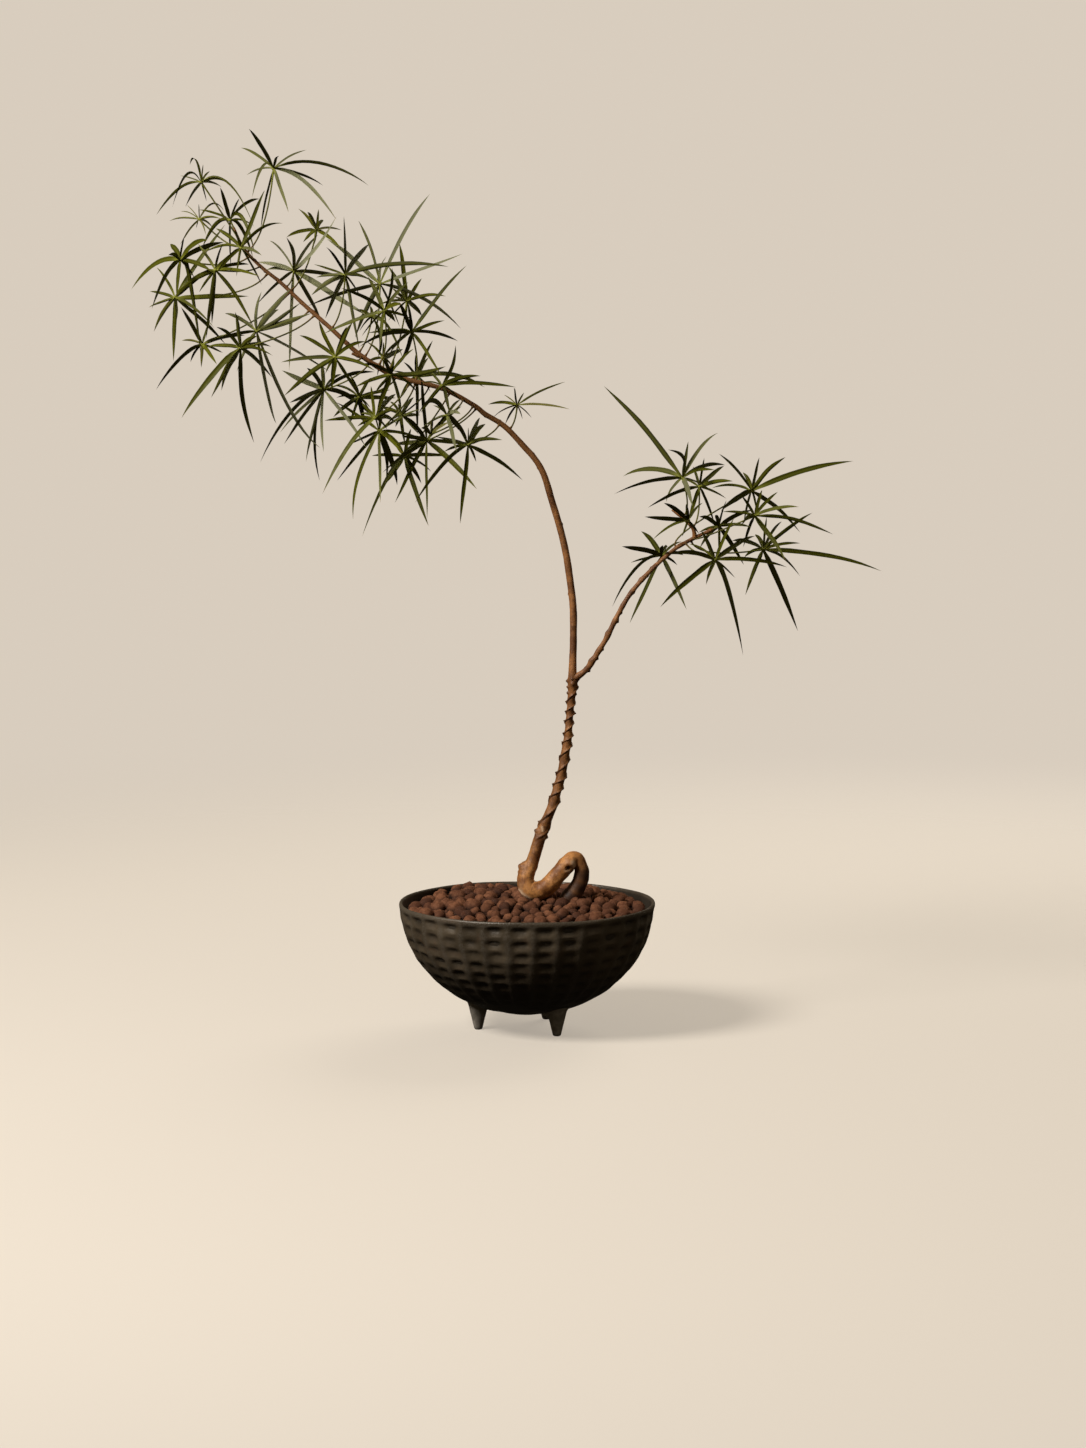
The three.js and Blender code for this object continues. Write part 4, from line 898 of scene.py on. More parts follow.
wood = {
    "sides": 40,
    "rootSpacing": 1.3,
    "ridgeMesh": 0.85,
    "stemSpacing": 2.3,
    "branchSides": 24,
    "branchSpacing": 1.5,
    "ridgeStarts": 2,
    # heights at which a ridge passes the left side of the stem
    "ridgeHeights": (232.0, 258.0, 292.0, 308.0, 322.0, 343.0, 362.0, 373.0, 389.0, 401.0, 413.0,
                     432.0, 447.0),
    "ridgeBottom": 236.0,
    "ridgeTop": 436.0,
    "ridgeHeight": 1.5,
    # angle around the stem and height of the knobs on each turn of a ridge
    "ridgeKnobs": ((-1.25, 1.9), (1.45, 1.3), (-2.6, 1.0), (2.7, 1.2), (0.2, 0.4)),
    "knobLift": 1.4,
    "scarSpacing": 24.0,
    "scarsFrom": 462.0,
    "scarTurn": 2.4,
    "crestWidth": 0.15,
    "creaseWidth": 0.09,
    "creasePlace": 0.2,
    "broadLumps": (17.0, 0.55),
    "smallLumps": (6.0, 0.3),
    "wholeTube": 10.0,
    "snapReach": 9.0,
    "collar": (1.3, 7.0),
    "curveSteps": 24,
    "seed": 5,
    # place, height, width, darkness of single knobs, seen from the front; where the height is below zero the
    # darkness is painted shade in the dip
    "knobs": [
        ((77.0, -12.5, 210.5), 3.2, 5.5, 0.1), ((75.0, -13.0, 206.6), -5.6, 2.7, 1.3),
        ((14.6, -2.0, 207.5), 4.4, 4.2, 0.1), ((22.0, -3.0, 216.0), -1.0, 3.0, 0.6),
        ((16.0, -3.0, 213.5), 1.6, 2.2, 0.5),
        ((12.6, -2.0, 200.0), 1.2, 2.0, 0.25), ((35.0, -2.0, 252.0), 3.4, 2.7, 0.9),
        ((34.2, -3.0, 247.5), 1.2, 1.9, 0.8), ((49.0, -1.5, 243.0), 3.0, 2.6, 0.95),
        ((50.0, -1.0, 250.0), 1.0, 2.0, 0.5), ((60.0, -6.0, 220.0), 0.9, 4.0, 0.2),
        ((74.4, -2.0, 425.4), 2.4, 1.9, 0.95), ((73.8, 0.0, 440.5), 2.6, 2.1, 0.9),
        ((73.6, -2.0, 433.0), 1.7, 2.2, 0.55), ((87.0, -2.0, 433.2), 2.6, 2.2, 0.95),
        ((86.0, -1.0, 424.0), 1.6, 2.0, 0.75), ((88.5, -3.0, 441.0), 1.4, 2.0, 0.6),
        ((80.0, -7.0, 437.0), 1.5, 2.6, 0.45), ((101.0, -6.0, 452.5), 2.3, 1.8, 1.0),
        ((111.0, -8.0, 468.5), 1.9, 1.8, 1.0), ((119.5, -9.0, 479.0), 1.6, 1.9, 0.9),
        ((101.5, -7.0, 468.0), 1.8, 4.0, 0.25), ((122.0, -9.0, 502.0), 1.2, 3.6, 0.1),
        ((139.2, -8.0, 514.5), 2.1, 1.7, 1.0), ((132.5, -9.0, 516.5), 1.0, 2.4, 0.35),
        ((146.2, -8.0, 524.0), 1.5, 1.9, 0.85), ((157.5, -7.0, 551.0), 0.9, 2.2, 0.5),
        ((163.0, -6.0, 569.0), 0.9, 2.4, 0.3), ((176.0, -5.0, 570.0), 0.8, 2.0, 0.6),
        # these four widen the arch's right leg; their darkness is painted shade of the arch over it
        ((93.0, 3.0, 196.0), 1.6, 15.0, 1.2), ((90.0, 4.5, 181.0), 2.4, 15.0, 1.3),
        ((80.0, 2.0, 168.0), 4.4, 13.0, 1.2), ((66.0, 0.0, 163.0), 4.4, 11.0, 1.0),
        ((29.0, 0.0, 224.0), 0.0, 13.0, 0.4), ((38.0, 0.0, 240.0), 0.0, 10.0, 0.34),
    ],
    # ends of a stroke, width and strength of pale scars
    "scars": [
        ((80.6, -10.6, 213.0), (81.4, -10.2, 208.0), 2.8, 0.9),
        ((76.0, -12.5, 202.0), (71.0, -12.5, 203.0), 1.5, 0.4),
        ((12.5, -9.0, 177.5), (27.0, -16.0, 166.8), 2.0, 0.9),
        ((41.6, -7.2, 257.0), (42.6, -7.2, 252.5), 1.4, 0.6),
        ((44.5, -7.2, 243.5), (45.5, -7.0, 241.0), 1.4, 0.95),
        ((15.0, -7.0, 186.0), (17.0, -10.0, 172.0), 2.6, 0.3),
    ],
}


def smoothLine(line, stepsBetween):
    last = len(line) - 1
    result = []
    for index in range(last):
        before = line[max(index - 1, 0)]
        start = line[index]
        end = line[index + 1]
        after = line[min(index + 2, last)]
        for step in range(stepsBetween):
            t = step / stepsBetween
            square = (2 * before - 5 * start + 4 * end - after) * t * t
            cube = (3 * start - before - 3 * end + after) * t * t * t
            result.append(0.5 * (2 * start + (end - before) * t + square + cube))
    result.append(line[last])
    return np.array(result)


def respaced(line, spacingAt):
    lengths = np.concatenate([[0.0], np.cumsum(np.linalg.norm(np.diff(line[:, :3], axis=0), axis=1))])
    marks = [0.0]
    while marks[-1] < lengths[-1] - 0.5:
        here = [np.interp(marks[-1], lengths, line[:, axis]) for axis in range(3)]
        marks.append(min(marks[-1] + spacingAt(here), lengths[-1]))
    marks = np.array(marks)
    return np.stack([np.interp(marks, lengths, line[:, axis]) for axis in range(4)], axis=-1), marks


def isRidge(place):
    return wood["ridgeBottom"] - 6 < place[2] < wood["ridgeTop"] + 8 and place[0] < 92


def mainSpacing(place):
    if isRidge(place):
        return wood["ridgeMesh"]
    return wood["rootSpacing"] if place[2] < wood["ridgeBottom"] else wood["stemSpacing"]


# Directions at each ring, towards the front and to the side; the line never runs front to back.
def lineFrames(line):
    along = np.gradient(line[:, :3], axis=0)
    along /= np.linalg.norm(along, axis=1)[:, None]
    front = np.tile([0.0, -1.0, 0.0], (len(line), 1))
    front -= along * np.sum(front * along, axis=1)[:, None]
    front /= np.linalg.norm(front, axis=1)[:, None]
    return front, np.cross(along, front)


# How far the ridges have turned at a height, in radians of one ridge and its gap
def ridgeTurn(height):
    heights = wood["ridgeHeights"]
    return math.pi + 2 * math.pi * np.interp(height, heights, np.arange(len(heights)))


# Rows of knobs on the main stem: along the spiral ridges, then leaf scars further up
def stemKnobs(line):
    random = np.random.RandomState(wood["seed"])
    front, side = lineFrames(line)
    knobs = []
    ridge = np.array([index for index, entry in enumerate(line) if isRidge(entry)])
    for order, level in enumerate(wood["ridgeHeights"][1:-1]):
        gap = wood["ridgeHeights"][order + 2] - level
        for angle, size in wood["ridgeKnobs"]:
            angle += random.uniform(-0.15, 0.15)
            height = level + gap * ((wood["ridgeStarts"] * angle / math.pi - 1) / 2 % 1)
            index = ridge[np.argmin(np.abs(line[ridge, 2] - height))]
            outward = front[index] * math.cos(angle) + side[index] * math.sin(angle)
            place = line[index, :3] + outward * (line[index, 3] + wood["knobLift"])
            size *= random.uniform(0.7, 1.15)
            knobs.append((place, size, random.uniform(1.2, 1.7), random.uniform(0.75, 1.0)))
    upper = np.flatnonzero((line[:, 2] > wood["scarsFrom"]) & (np.arange(len(line)) > ridge[-1]))
    travelled = 0.0
    angle = 1.2
    for index in upper[1:]:
        travelled += np.linalg.norm(line[index, :3] - line[index - 1, :3])
        if travelled > wood["scarSpacing"] * 0.9:
            travelled = random.uniform(0, 5)
            angle += wood["scarTurn"]
            outward = front[index] * math.cos(angle) + side[index] * math.sin(angle)
            place = line[index, :3] + outward * line[index, 3]
            size, width = random.uniform(0.5, 1.0), random.uniform(1.5, 2.1)
            knobs.append((place, size, width, random.uniform(0.45, 0.95)))
    return knobs


def branchKnobs(line, random, spacing):
    front, side = lineFrames(line)
    knobs = []
    travelled = 0.0
    angle = random.uniform(0, 6)
    for index in range(1, len(line)):
        travelled += np.linalg.norm(line[index, :3] - line[index - 1, :3])
        if travelled > spacing:
            travelled = random.uniform(0, spacing * 0.25)
            angle += wood["scarTurn"]
            outward = front[index] * math.cos(angle) + side[index] * math.sin(angle)
            knobs.append((line[index, :3] + outward * line[index, 3], random.uniform(0.4, 0.9), 1.6,
                          random.uniform(0.4, 0.9)))
    return knobs


def strokeDistance(points, start, end):
    reach = end - start
    share = np.clip((points - start) @ reach / (reach @ reach), 0, 1)
    return np.linalg.norm(points - start - share[:, None] * reach, axis=1)


def addTube(piece, line, marks, sides, knobs, withRidge):
    front, side = lineFrames(line)
    angles = (np.arange(sides)[None, :] + 0.5 * (np.arange(len(line)) % 2)[:, None]) * 2 * math.pi / sides
    outward = front[:, None] * np.cos(angles)[..., None] + side[:, None] * np.sin(angles)[..., None]
    radius = np.broadcast_to(line[:, 3][:, None], angles.shape).copy()
    height = np.broadcast_to(line[:, 2][:, None], angles.shape)
    dark = np.zeros(angles.shape)
    if withRidge:
        band = np.array([isRidge(entry) for entry in line])[:, None]
        fade = np.clip(np.minimum(height - wood["ridgeBottom"], wood["ridgeTop"] - height) / 12, 0, 1) * band
        phase = wood["ridgeStarts"] * angles - ridgeTurn(height)
        turn = np.arctan2(np.sin(phase), np.cos(phase)) / math.pi
        crest = np.exp(-(turn / wood["crestWidth"]) ** 2)
        crease = np.exp(-((turn - wood["creasePlace"]) / wood["creaseWidth"]) ** 2)
        radius += fade * (wood["ridgeHeight"] * crest - 0.6 * crease + 0.2 * np.cos(math.pi * turn) - 0.1)
        # painted shade in the crease beside each ridge, with a darker line along its crest
        dark = np.maximum(dark, fade * (0.8 * crease + 0.4 * np.exp(-(turn / 0.12) ** 2)))
    rough = line[:, None, :3] + outward * radius[..., None]
    flat = rough.reshape(-1, 3)
    lumps = 1 + 1.1 * (1 - smoothStep(196, 250, flat[:, 2]))
    broadSize, broadHeight = wood["broadLumps"]
    smallSize, smallHeight = wood["smallLumps"]
    bend = noiseAt(flat, broadSize, 2.0) * broadHeight + noiseAt(flat, smallSize, 8.0) * smallHeight
    bend = bend * lumps
    radius += bend.reshape(radius.shape) * np.clip(line[:, 3][:, None] / 9, 0.3, 1)
    swelling = np.zeros(len(flat))
    dark = dark.ravel()
    seen = np.array([1.0, 0.35, 1.0])  # the depths of single knobs and scars are rough
    knobs = list(knobs)
    for place, size, width, darkness in wood["knobs"]:
        nearest = flat[np.argmin(np.linalg.norm((flat - place) * seen, axis=1))]
        if width >= wood["wholeTube"]:  # a swelling of the whole tube
            knobs.append((place, size, width, darkness))
        elif np.linalg.norm(nearest - place) < wood["snapReach"]:
            knobs.append((nearest, size, width, darkness))
    for place, size, width, darkness in knobs:
        distance = np.linalg.norm(flat - place, axis=1)
        bell = np.exp(-(distance / width) ** 2)
        swelling += size * bell
        # darkness at the knobs; in the dips and on the arch's right leg it is painted shade
        dark = np.maximum(dark, darkness * np.exp(-(distance / (width * 0.95)) ** 2))
    pale = np.zeros(len(flat))
    for start, end, width, strength in wood["scars"]:
        distance = strokeDistance(flat * seen, start * seen, end * seen)
        pale = np.maximum(pale, strength * np.exp(-(distance / width) ** 2))
    swelling += 0.35 * pale
    radius += swelling.reshape(radius.shape)
    rings = line[:, None, :3] + outward * radius[..., None]
    points, faces = closedTube(rings)
    x = rings[..., 0].ravel()
    z = rings[..., 2].ravel()
    root = np.where(x > 58, 1 - smoothStep(236, 246, z), 1 - smoothStep(196, 262, z))
    travelled = np.broadcast_to(marks[:, None], angles.shape) * 0.1
    bark = np.stack([np.cos(angles), np.sin(angles), travelled], axis=-1).reshape(-1, 3)

    def closed(values, first, last):
        return np.concatenate([values, [values[first], values[last]]])
    piece.add(points, faces, root=closed(root, 0, -1), dark=closed(dark, 0, -1), pale=closed(pale, 0, -1),
              bark=np.vstack([bark, bark[0], bark[-1]]))


def makeTrunk():
    piece = Collector(root=1, dark=1, pale=1, bark=3)
    random = np.random.RandomState(wood["seed"] + 1)
    main, marks = respaced(smoothLine(np.vstack([baseLine, stemLine[1:]]), wood["curveSteps"]), mainSpacing)
    addTube(piece, main, marks, wood["sides"], stemKnobs(main), True)
    for source, spacing in ((branchLine, 21), (forkLine, 15), (sprigLine, 15)):
        line, marks = respaced(smoothLine(source, wood["curveSteps"]), lambda place: wood["branchSpacing"])
        waves = 0.28 * np.sin(marks * 2 * math.pi / spacing + random.uniform(0, 6))
        line[:, 3] += np.maximum(waves, -0.12) * smoothStep(0, 30, marks)
        line[:, 3] += wood["collar"][0] * np.exp(-marks / wood["collar"][1])  # where it joins
        addTube(piece, line, marks, wood["branchSides"], branchKnobs(line, random, spacing), False)
    return piece.build("woodTrunk")


barkColours = {
    "stemDark": (0.1, 0.033, 0.0062),
    "stemLight": (0.275, 0.112, 0.03),
    "crown": (0.16, 0.066, 0.017),
    "rootDark": (0.162, 0.053, 0.009),
    "rootLight": (0.44, 0.195, 0.056),
    "fibreDark": (0.055, 0.021, 0.007),
    "fibreLight": (0.54, 0.34, 0.19),
    "rings": (0.06, 0.026, 0.014),
    "pale": (0.66, 0.47, 0.31),
    # dark bark at knobs, and painted shade in creases, dips and on the arch's right leg
    "dark": (0.03, 0.011, 0.004),
}


def barkMaterial():
    surface = newMaterial("bark")
    tree = surface[1]
    place = objectPlace(tree)
    bark = attributeOf(tree, "bark", "Vector")
    fibre = noiseOf(tree, bark, 0.26, 5.0, 0.66, 0.4)
    fine = noiseOf(tree, stretched(tree, bark, (3.0, 3.0, 1.0)), 0.16, 3.0, 0.6)
    patches = noiseOf(tree, place, 0.018, 4.0, 0.6)
    rings = noiseOf(tree, stretched(tree, bark, (0.25, 0.25, 4.0)), 0.5, 3.0, 0.6)
    share = remap(tree, patches, 0.35, 0.68)
    stem = blendColours(tree, share, barkColours["stemDark"], barkColours["stemLight"])
    stem = blendColours(tree, remap(tree, heightOf(tree, place), 0.62, 0.8), stem, barkColours["crown"])
    share = remap(tree, patches, 0.34, 0.7)
    root = blendColours(tree, share, barkColours["rootDark"], barkColours["rootLight"])
    base = layered(tree, blendColours(tree, attributeOf(tree, "root"), stem, root), [
        (remap(tree, fibre, 0.44, 0.66, 0.0, 0.5), barkColours["fibreDark"]),
        (remap(tree, fine, 0.56, 0.72, 0.0, 0.32), barkColours["fibreLight"]),
        (remap(tree, rings, 0.6, 0.7, 0.0, 0.3), barkColours["rings"]),
        (attributeOf(tree, "pale"), barkColours["pale"]),
        # dark bark at knobs, and painted shade in creases, dips and on the arch's right leg
        (attributeOf(tree, "dark"), barkColours["dark"]),
    ])
    return finishSurface(surface, base, remap(tree, fibre, 0.3, 0.7, 0.46, 0.66), 0.3,
                         [(fibre, 0.45, 0.0007), (fine, 0.35, 0.00025)])


# Leaves: whorls of narrow leaflets. Each leaf has its hub as sideways place, depth and height, then the
# leaflet tips as sideways and upward reach from the hub. Sideways and upward sizes hold on the stem's plane,
# as seen from the viewpoint. A third number is the rise above the chord where it is not the usual one, a
# fourth the bow to the right. The layout below gives every leaflet its depth and keeps leaflets apart.

leftLeaves = [
    {"hub": (-377, -30, 1057), "tips": [(-14, 21, 17), (-36, -30, 24), (-56, -40, 12), (-20, -30),
        (36, -4, 7), (65, -56, 28), (25, -6)]},
    {"hub": (-288, -6, 1074), "tips": [(-30, 48), (-40, 25), (7, 15), (117, -21, 17), (77, -63, 15),
        (61, -21), (-27, -36, 20), (-17, -76), (18, -54)]},
    {"hub": (-380, 46, 1012), "tips": [(-37, -2), (-24, -31), (31, 10, 14), (28, 0), (17, -11), (8, -19),
        (-4, -11)]},
    {"hub": (-342, 11, 1011), "atTip": True, "tips": [(-12, 40), (36, 26, 6), (-35, -34, 12), (0, -58),
        (30, -41, 24), (28, -47, 14)]},
    {"hub": (-329, -36, 977), "tips": [(30, 71), (52, 30, 9), (-31, 24), (-31, -31), (25, -45)]},
    {"hub": (-404, -12, 962), "tips": [(-36, -60, 11), (-61, -36, 14), (-5, -46), (25, -124, 40),
        (39, -14), (54, 22), (34, 25, 7), (-12, 20), (-15, 6)]},
    {"hub": (-411, 28, 916), "tips": [(-3, -78), (91, 2, 0), (63, 90, 2), (45, 35), (62, -57, 2),
        (48, -37), (-22, 37), (2, -26)]},
    {"hub": (-361, -48, 950), "tips": [(-40, -21), (-5, -67), (-12, -84), (47, -70, 5), (55, -8), (42, 7),
        (32, 26)]},
    {"hub": (-331, -30, 854), "tips": [(-41, 2), (-74, -86, 9), (-37, -61), (-24, -52, 0, -4),
        (16, -117, 0, -6), (-6, 45), (38, 2), (40, -9), (39, -36), (21, 15)]},
    {"hub": (-378, 54, 859), "tips": [(-58, -56, 9), (53, 11), (-26, 46), (-15, -22), (18, -25)]},
    {"hub": (-311, -10, 875), "tips": [(78, -144, -22), (7, 49, 0, -4), (-39, 22), (43, 52), (28, 27),
        (68, 22, 0), (91, -50, 2), (24, -114, -20), (-64, -14, 2), (55, 35, -2)]},
    {"hub": (-264, 34, 949), "tips": [(-9, 41, 0, 4), (30, 44, 4), (53, 67, -7), (-36, 0), (-46, -41),
        (63, -7, 1), (92, -56, 1), (34, -64, 0, 2), (-7, -123), (-45, 11, 2)]},
    {"hub": (-201, -38, 944), "tips": [(-1, 72), (-23, 34), (30, 38), (40, -12), (-42, -25), (-25, -54),
        (17, -92), (128, 10, 9)]},
    {"hub": (-158, 24, 933), "tips": [(62, 110, 9), (8, 34, 0, -4), (102, 37, -1), (100, -55, 12),
        (-65, 55, 2)]},
    {"hub": (-236, 52, 999), "tips": [(-22, 26), (-11, 22), (9, 12), (-37, -9), (30, -22)]},
    {"hub": (-153, -42, 900), "tips": [(10, 53, 0, 4), (-20, 42), (21, 8), (14, -14), (-53, 28),
        (-75, -28, 2)]},
    {"hub": (-125, 40, 912), "tips": [(-9, 72), (48, 6, 4), (19, -19), (-23, 43, 0, 2), (-18, 16, 0),
        (-17, 6, 0)]},
    {"hub": (-119, -12, 874), "tips": [(68, 82), (-5, 37), (-16, 37), (-55, -1, 2), (-65, -18, 6),
        (57, -11), (37, -55), (-20, -44, 0, 4), (-28, -27)]},
    {"hub": (-214, -46, 843), "tips": [(-44, 27), (-67, -6, 2), (-64, -48), (22, 43), (-20, 46, 0, -1),
        (50, -17), (45, -69, 0, -1), (-5, -41), (15, 38)]},
    {"hub": (-228, 24, 803), "tips": [(-43, -16, 1), (-52, 24, 0), (-80, -90, 20), (-55, -53, 4),
        (-1, -77, 0, -2), (-6, -113, 0, -9), (-23, -89, 0, -2), (57, -31, 9), (52, -72), (22, 19),
        (-50, -67, 2), (63, 22, 7), (-21, 27), (-2, 32)]},
    {"hub": (-165, -28, 768), "tips": [(-63, -3, 2), (-66, -94, 12), (26, 30), (28, 9, 4), (27, -7, 5),
        (-5, 40), (-17, 20, 0)]},
    {"hub": (-101, 28, 740), "tips": [(0, -98), (-40, -77, 2), (62, -60, 4), (-42, -4, -1), (-32, 32),
        (-81, -119, 27), (-31, 6, 1)]},
    {"hub": (-50, -32, 735), "tips": [(22, 26), (43, 6), (68, -44), (-10, -98), (-66, -72, 10),
        (-40, 10, 1), (15, 34)]},
    {"hub": (-76, -60, 772), "tips": [(12, -45), (25, -29), (17, 1), (-12, -19), (-36, 0, 17)]},
    {"hub": (-145, -36, 822), "tips": [(-45, -16, 2), (-18, -50), (13, -46), (68, 10, -4), (-10, 18),
        (4, 20)]},
    {"hub": (-113, 32, 818), "tips": [(-1, 30), (20, 46), (84, -12, 10), (1, -71), (-21, -24, 5),
        (15, 25)]},
    {"hub": (-82, -32, 808), "tips": [(17, 50, 0, 4), (48, 12), (92, -2), (10, -36)]},
    {"hub": (11, 20, 784), "tips": [(-4, 21), (60, 29), (65, -5), (-36, 1), (-30, -15), (-15, -24)]},
    {"hub": (-185, 50, 794), "tips": [(-32, -25, 2), (39, 9, 1), (7, -38), (-12, 30), (46, -1, 0),
        (16, 24)]},
    {"hub": (-129, 54, 721), "tips": [(30, -87, 0, -1), (21, -34), (-27, -37, 0), (-25, 31), (58, 0, 2)]},
    {"hub": (-133, 52, 772), "tips": [(-25, 9, 2), (22, -24), (5, -38), (16, 22), (24, 0, 0)]},
    {"hub": (-168, 6, 893), "tips": [(-16, -18, 2), (39, -55, 15), (-17, 9, 0), (7, -50, 0, 6), (15, -8)]},
    {"hub": (-155, 24, 842), "tips": [(25, 11, 0), (29, 26, 4), (-19, 20, 2), (-7, -22)]},
    {"hub": (-160, 14, 752), "tips": [(-53, -62, 2), (-33, -110, 0, -9), (1, -89), (22, -67, 0, 4),
        (-39, -18, 1), (8, -63, 0, 5), (28, -27)]},
    {"hub": (-96, -30, 748), "tips": [(-12, 8), (2, 19), (23, 15)]},
]
rightLeaves = [
    {"hub": (216, -22, 694), "tips": [(-98, 114), (-74, 2, 11), (-85, -20, 5), (-20, -30, 0, -4),
        (13, -35), (44, 56, 9), (-18, 35, 7, 10), (53, 16, 7), (40, 10)]},
    {"hub": (237, 30, 683), "tips": [(31, 26), (42, 7), (-64, -26, 4), (-13, -42), (19, -45)]},
    {"hub": (262, 6, 634), "atTip": True, "tips": [(40, -1), (41, 20), (-25, 12), (31, -48), (-5, 14)]},
    {"hub": (257, -34, 592), "tips": [(36, -120, 20), (-68, -59), (90, -9), (-57, 8), (50, 30),
        (-11, -31)]},
    {"hub": (191, 28, 597), "tips": [(-50, 12, 2), (-26, 31), (-62, -64, 19), (-40, -84), (31, -67),
        (27, 1), (-1, 12), (7, 12)]},
    {"hub": (302, 20, 678), "tips": [(126, 37), (42, 42), (-11, 23), (-41, 46), (61, -52), (-38, -25)]},
    {"hub": (306, -28, 647), "tips": [(55, 11), (98, -23, 6), (-17, -13), (-14, -39), (39, -56)]},
    {"hub": (317, 30, 605), "tips": [(148, -27), (61, 46), (-22, -57), (44, -102), (-24, -10), (-39, 11),
        (-10, 19)]},
    {"hub": (223, -40, 641), "tips": [(-54, 5, 0), (-44, -24, 5), (-30, 22), (-2, 21)]},
]

leafForm = {
    "width": 6.6,
    "leastFacing": (0.5, 0.9),
    "inner": {"whorl": 11, "most": 4, "leastWhorl": 24.0, "reach": (0.45, 0.95), "width": 0.86},
    "shortestWhorl": 72.0,
    "longestDepth": 78.0,
    "shortestDepth": 20.0,
    "hiddenShare": 0.8,
    "usualRise": 0.05,
    "leastRoll": 0.65,
    "rollRange": 0.7,
    "viewpoint": (43.0, -4469.0, 912.0),
    "petioleRadius": 1.3,
    "leafletClearance": 3.7,
    "hubClearance": 6.0,
    "fitGap": 0.35,
    "depthChoices": (1, 0.75, 0.5, 1.25, -1, -0.75, -0.5, 0.25, -0.25, 0, 1.6, -1.6, 2.3, -2.3),
    "liftChoices": (0, 10, -10, 20, -20, 32, -32),
    "slides": (0, 12, 24, 36, 48, 60, 72),
    "stations": 12,
    "hubRadius": 2.7,
    "hubLumps": 0.16,
    "petioleSteps": 14,
    "petioleSides": 8,
    # petiole radius, and what its foot and its top add to it over a reach
    "petioleForm": (0.98, (0.85, 3.0), (0.35, 4.0)),
    "bladeWave": 0.013,
    "bladeRipple": 0.035,
    "bladeTwist": 0.4,
    "bladeEase": 1.08,
    "tipCurve": 2.1,
    "innerDepths": (0.9, -0.9, 0.5, -0.5, 1.3, -1.3),
    "innerClearance": 0.7,
    "seed": 41,
    "slender": {"leaf_left_01": 0.6, "leaf_left_02": 0.72, "leaf_left_03": 0.5, "leaf_left_04": 0.9,
                "leaf_left_28": 0.66},
    "young": ("leaf_left_03", "leaf_left_28", "leaf_left_10", "leaf_left_15", "leaf_left_35"),
    # leaves with a pale waxy bloom, partly a painted sheen of reflected light, and the share of it
    "bloom": {"leaf_left_11": 0.5, "leaf_left_12": 0.75, "leaf_left_14": 0.45, "leaf_left_13": 0.25,
              "leaf_left_20": 0.2, "leaf_left_24": 0.4, "leaf_left_02": 0.25, "leaf_right_01": 0.25},
}


# The point at this depth that looks from the viewpoint like the point x, z on the stem's plane
def onSight(x, depth, z):
    eye = leafForm["viewpoint"]
    share = 1 - depth / eye[1]
    return np.array([eye[0] + (x - eye[0]) * share, depth, eye[2] + (z - eye[2]) * share])


def curveAt(curve, t):
    start, bend, end = curve
    t = np.atleast_1d(t)[:, None]
    return (1 - t) ** 2 * start + 2 * t * (1 - t) * bend + t * t * end


def curvePoints(curve, count):
    return curveAt(curve, np.arange(count + 1) / count)


# Squared distances between each segment of one set and each of another
def segmentDistances(startA, endA, startB, endB):
    alongA = (endA - startA)[:, None]
    alongB = (endB - startB)[None]
    between = startA[:, None] - startB[None]
    a = np.sum(alongA * alongA, axis=-1)
    e = np.sum(alongB * alongB, axis=-1)
    f = np.sum(alongB * between, axis=-1)
    c = np.sum(alongA * between, axis=-1)
    b = np.sum(alongA * alongB, axis=-1)
    bottom = a * e - b * b
    s = np.where(bottom != 0, np.clip((b * f - c * e) / np.where(bottom == 0, 1, bottom), 0, 1), 0)
    t = (b * s + f) / e
    s = np.where(t < 0, np.clip(-c / a, 0, 1), np.where(t > 1, np.clip((b - c) / a, 0, 1), s))
    t = np.clip(t, 0, 1)
    gap = between + s[..., None] * alongA - t[..., None] * alongB
    return np.sum(gap * gap, axis=-1)


# What is already placed, as segments with a radius and an owner; the wood's owner is -1.
class Placed:
    def __init__(self):
        self.starts = np.zeros((0, 3))
        self.ends = np.zeros((0, 3))
        self.radii = np.zeros(0)
        self.owners = np.zeros(0, int)

    def add(self, owner, points, radius):
        count = len(points) - 1
        self.starts = np.vstack([self.starts, points[:-1]])
        self.ends = np.vstack([self.ends, points[1:]])
        self.radii = np.concatenate([self.radii, np.full(count, radius)])
        self.owners = np.concatenate([self.owners, np.full(count, owner)])

    def isClear(self, points, radius, test):
        low = np.minimum(self.starts, self.ends)
        high = np.maximum(self.starts, self.ends)
        reach = (radius + self.radii)[:, None]
        near = np.all((low - reach <= points.max(0)) & (high + reach >= points.min(0)), axis=1) & test
        if not near.any():
            return True
        found = segmentDistances(points[:-1], points[1:], self.starts[near], self.ends[near])
        return not (found < (radius + self.radii[near])[None] ** 2).any()


def surfaceTree(piece):
    points = [vertex.co / millimetre for vertex in piece.data.vertices]
    return BVHTree.FromPolygons(points, [tuple(face.vertices) for face in piece.data.polygons])


def surfaceHeight(tree, centre, outward, along, spread):
    side = unit(np.cross(outward, along))
    other = unit(np.cross(side, outward))
    away = 30.0
    height = 0.0
    for sideways in spread:
        for lengthways in spread:
            origin = Vector(centre + outward * away + side * sideways + other * lengthways)
            start = origin
            for _ in range(4):  # a surface met from behind is passed
                place, normal, _, _ = tree.ray_cast(start, Vector(-outward), away)
                if place is None or normal.dot(Vector(outward)) > 0:
                    break
                start = place - Vector(outward) * 0.001
            if place is not None and (place - origin).length <= away:
                height = max(height, away - (place - origin).length)
    return height


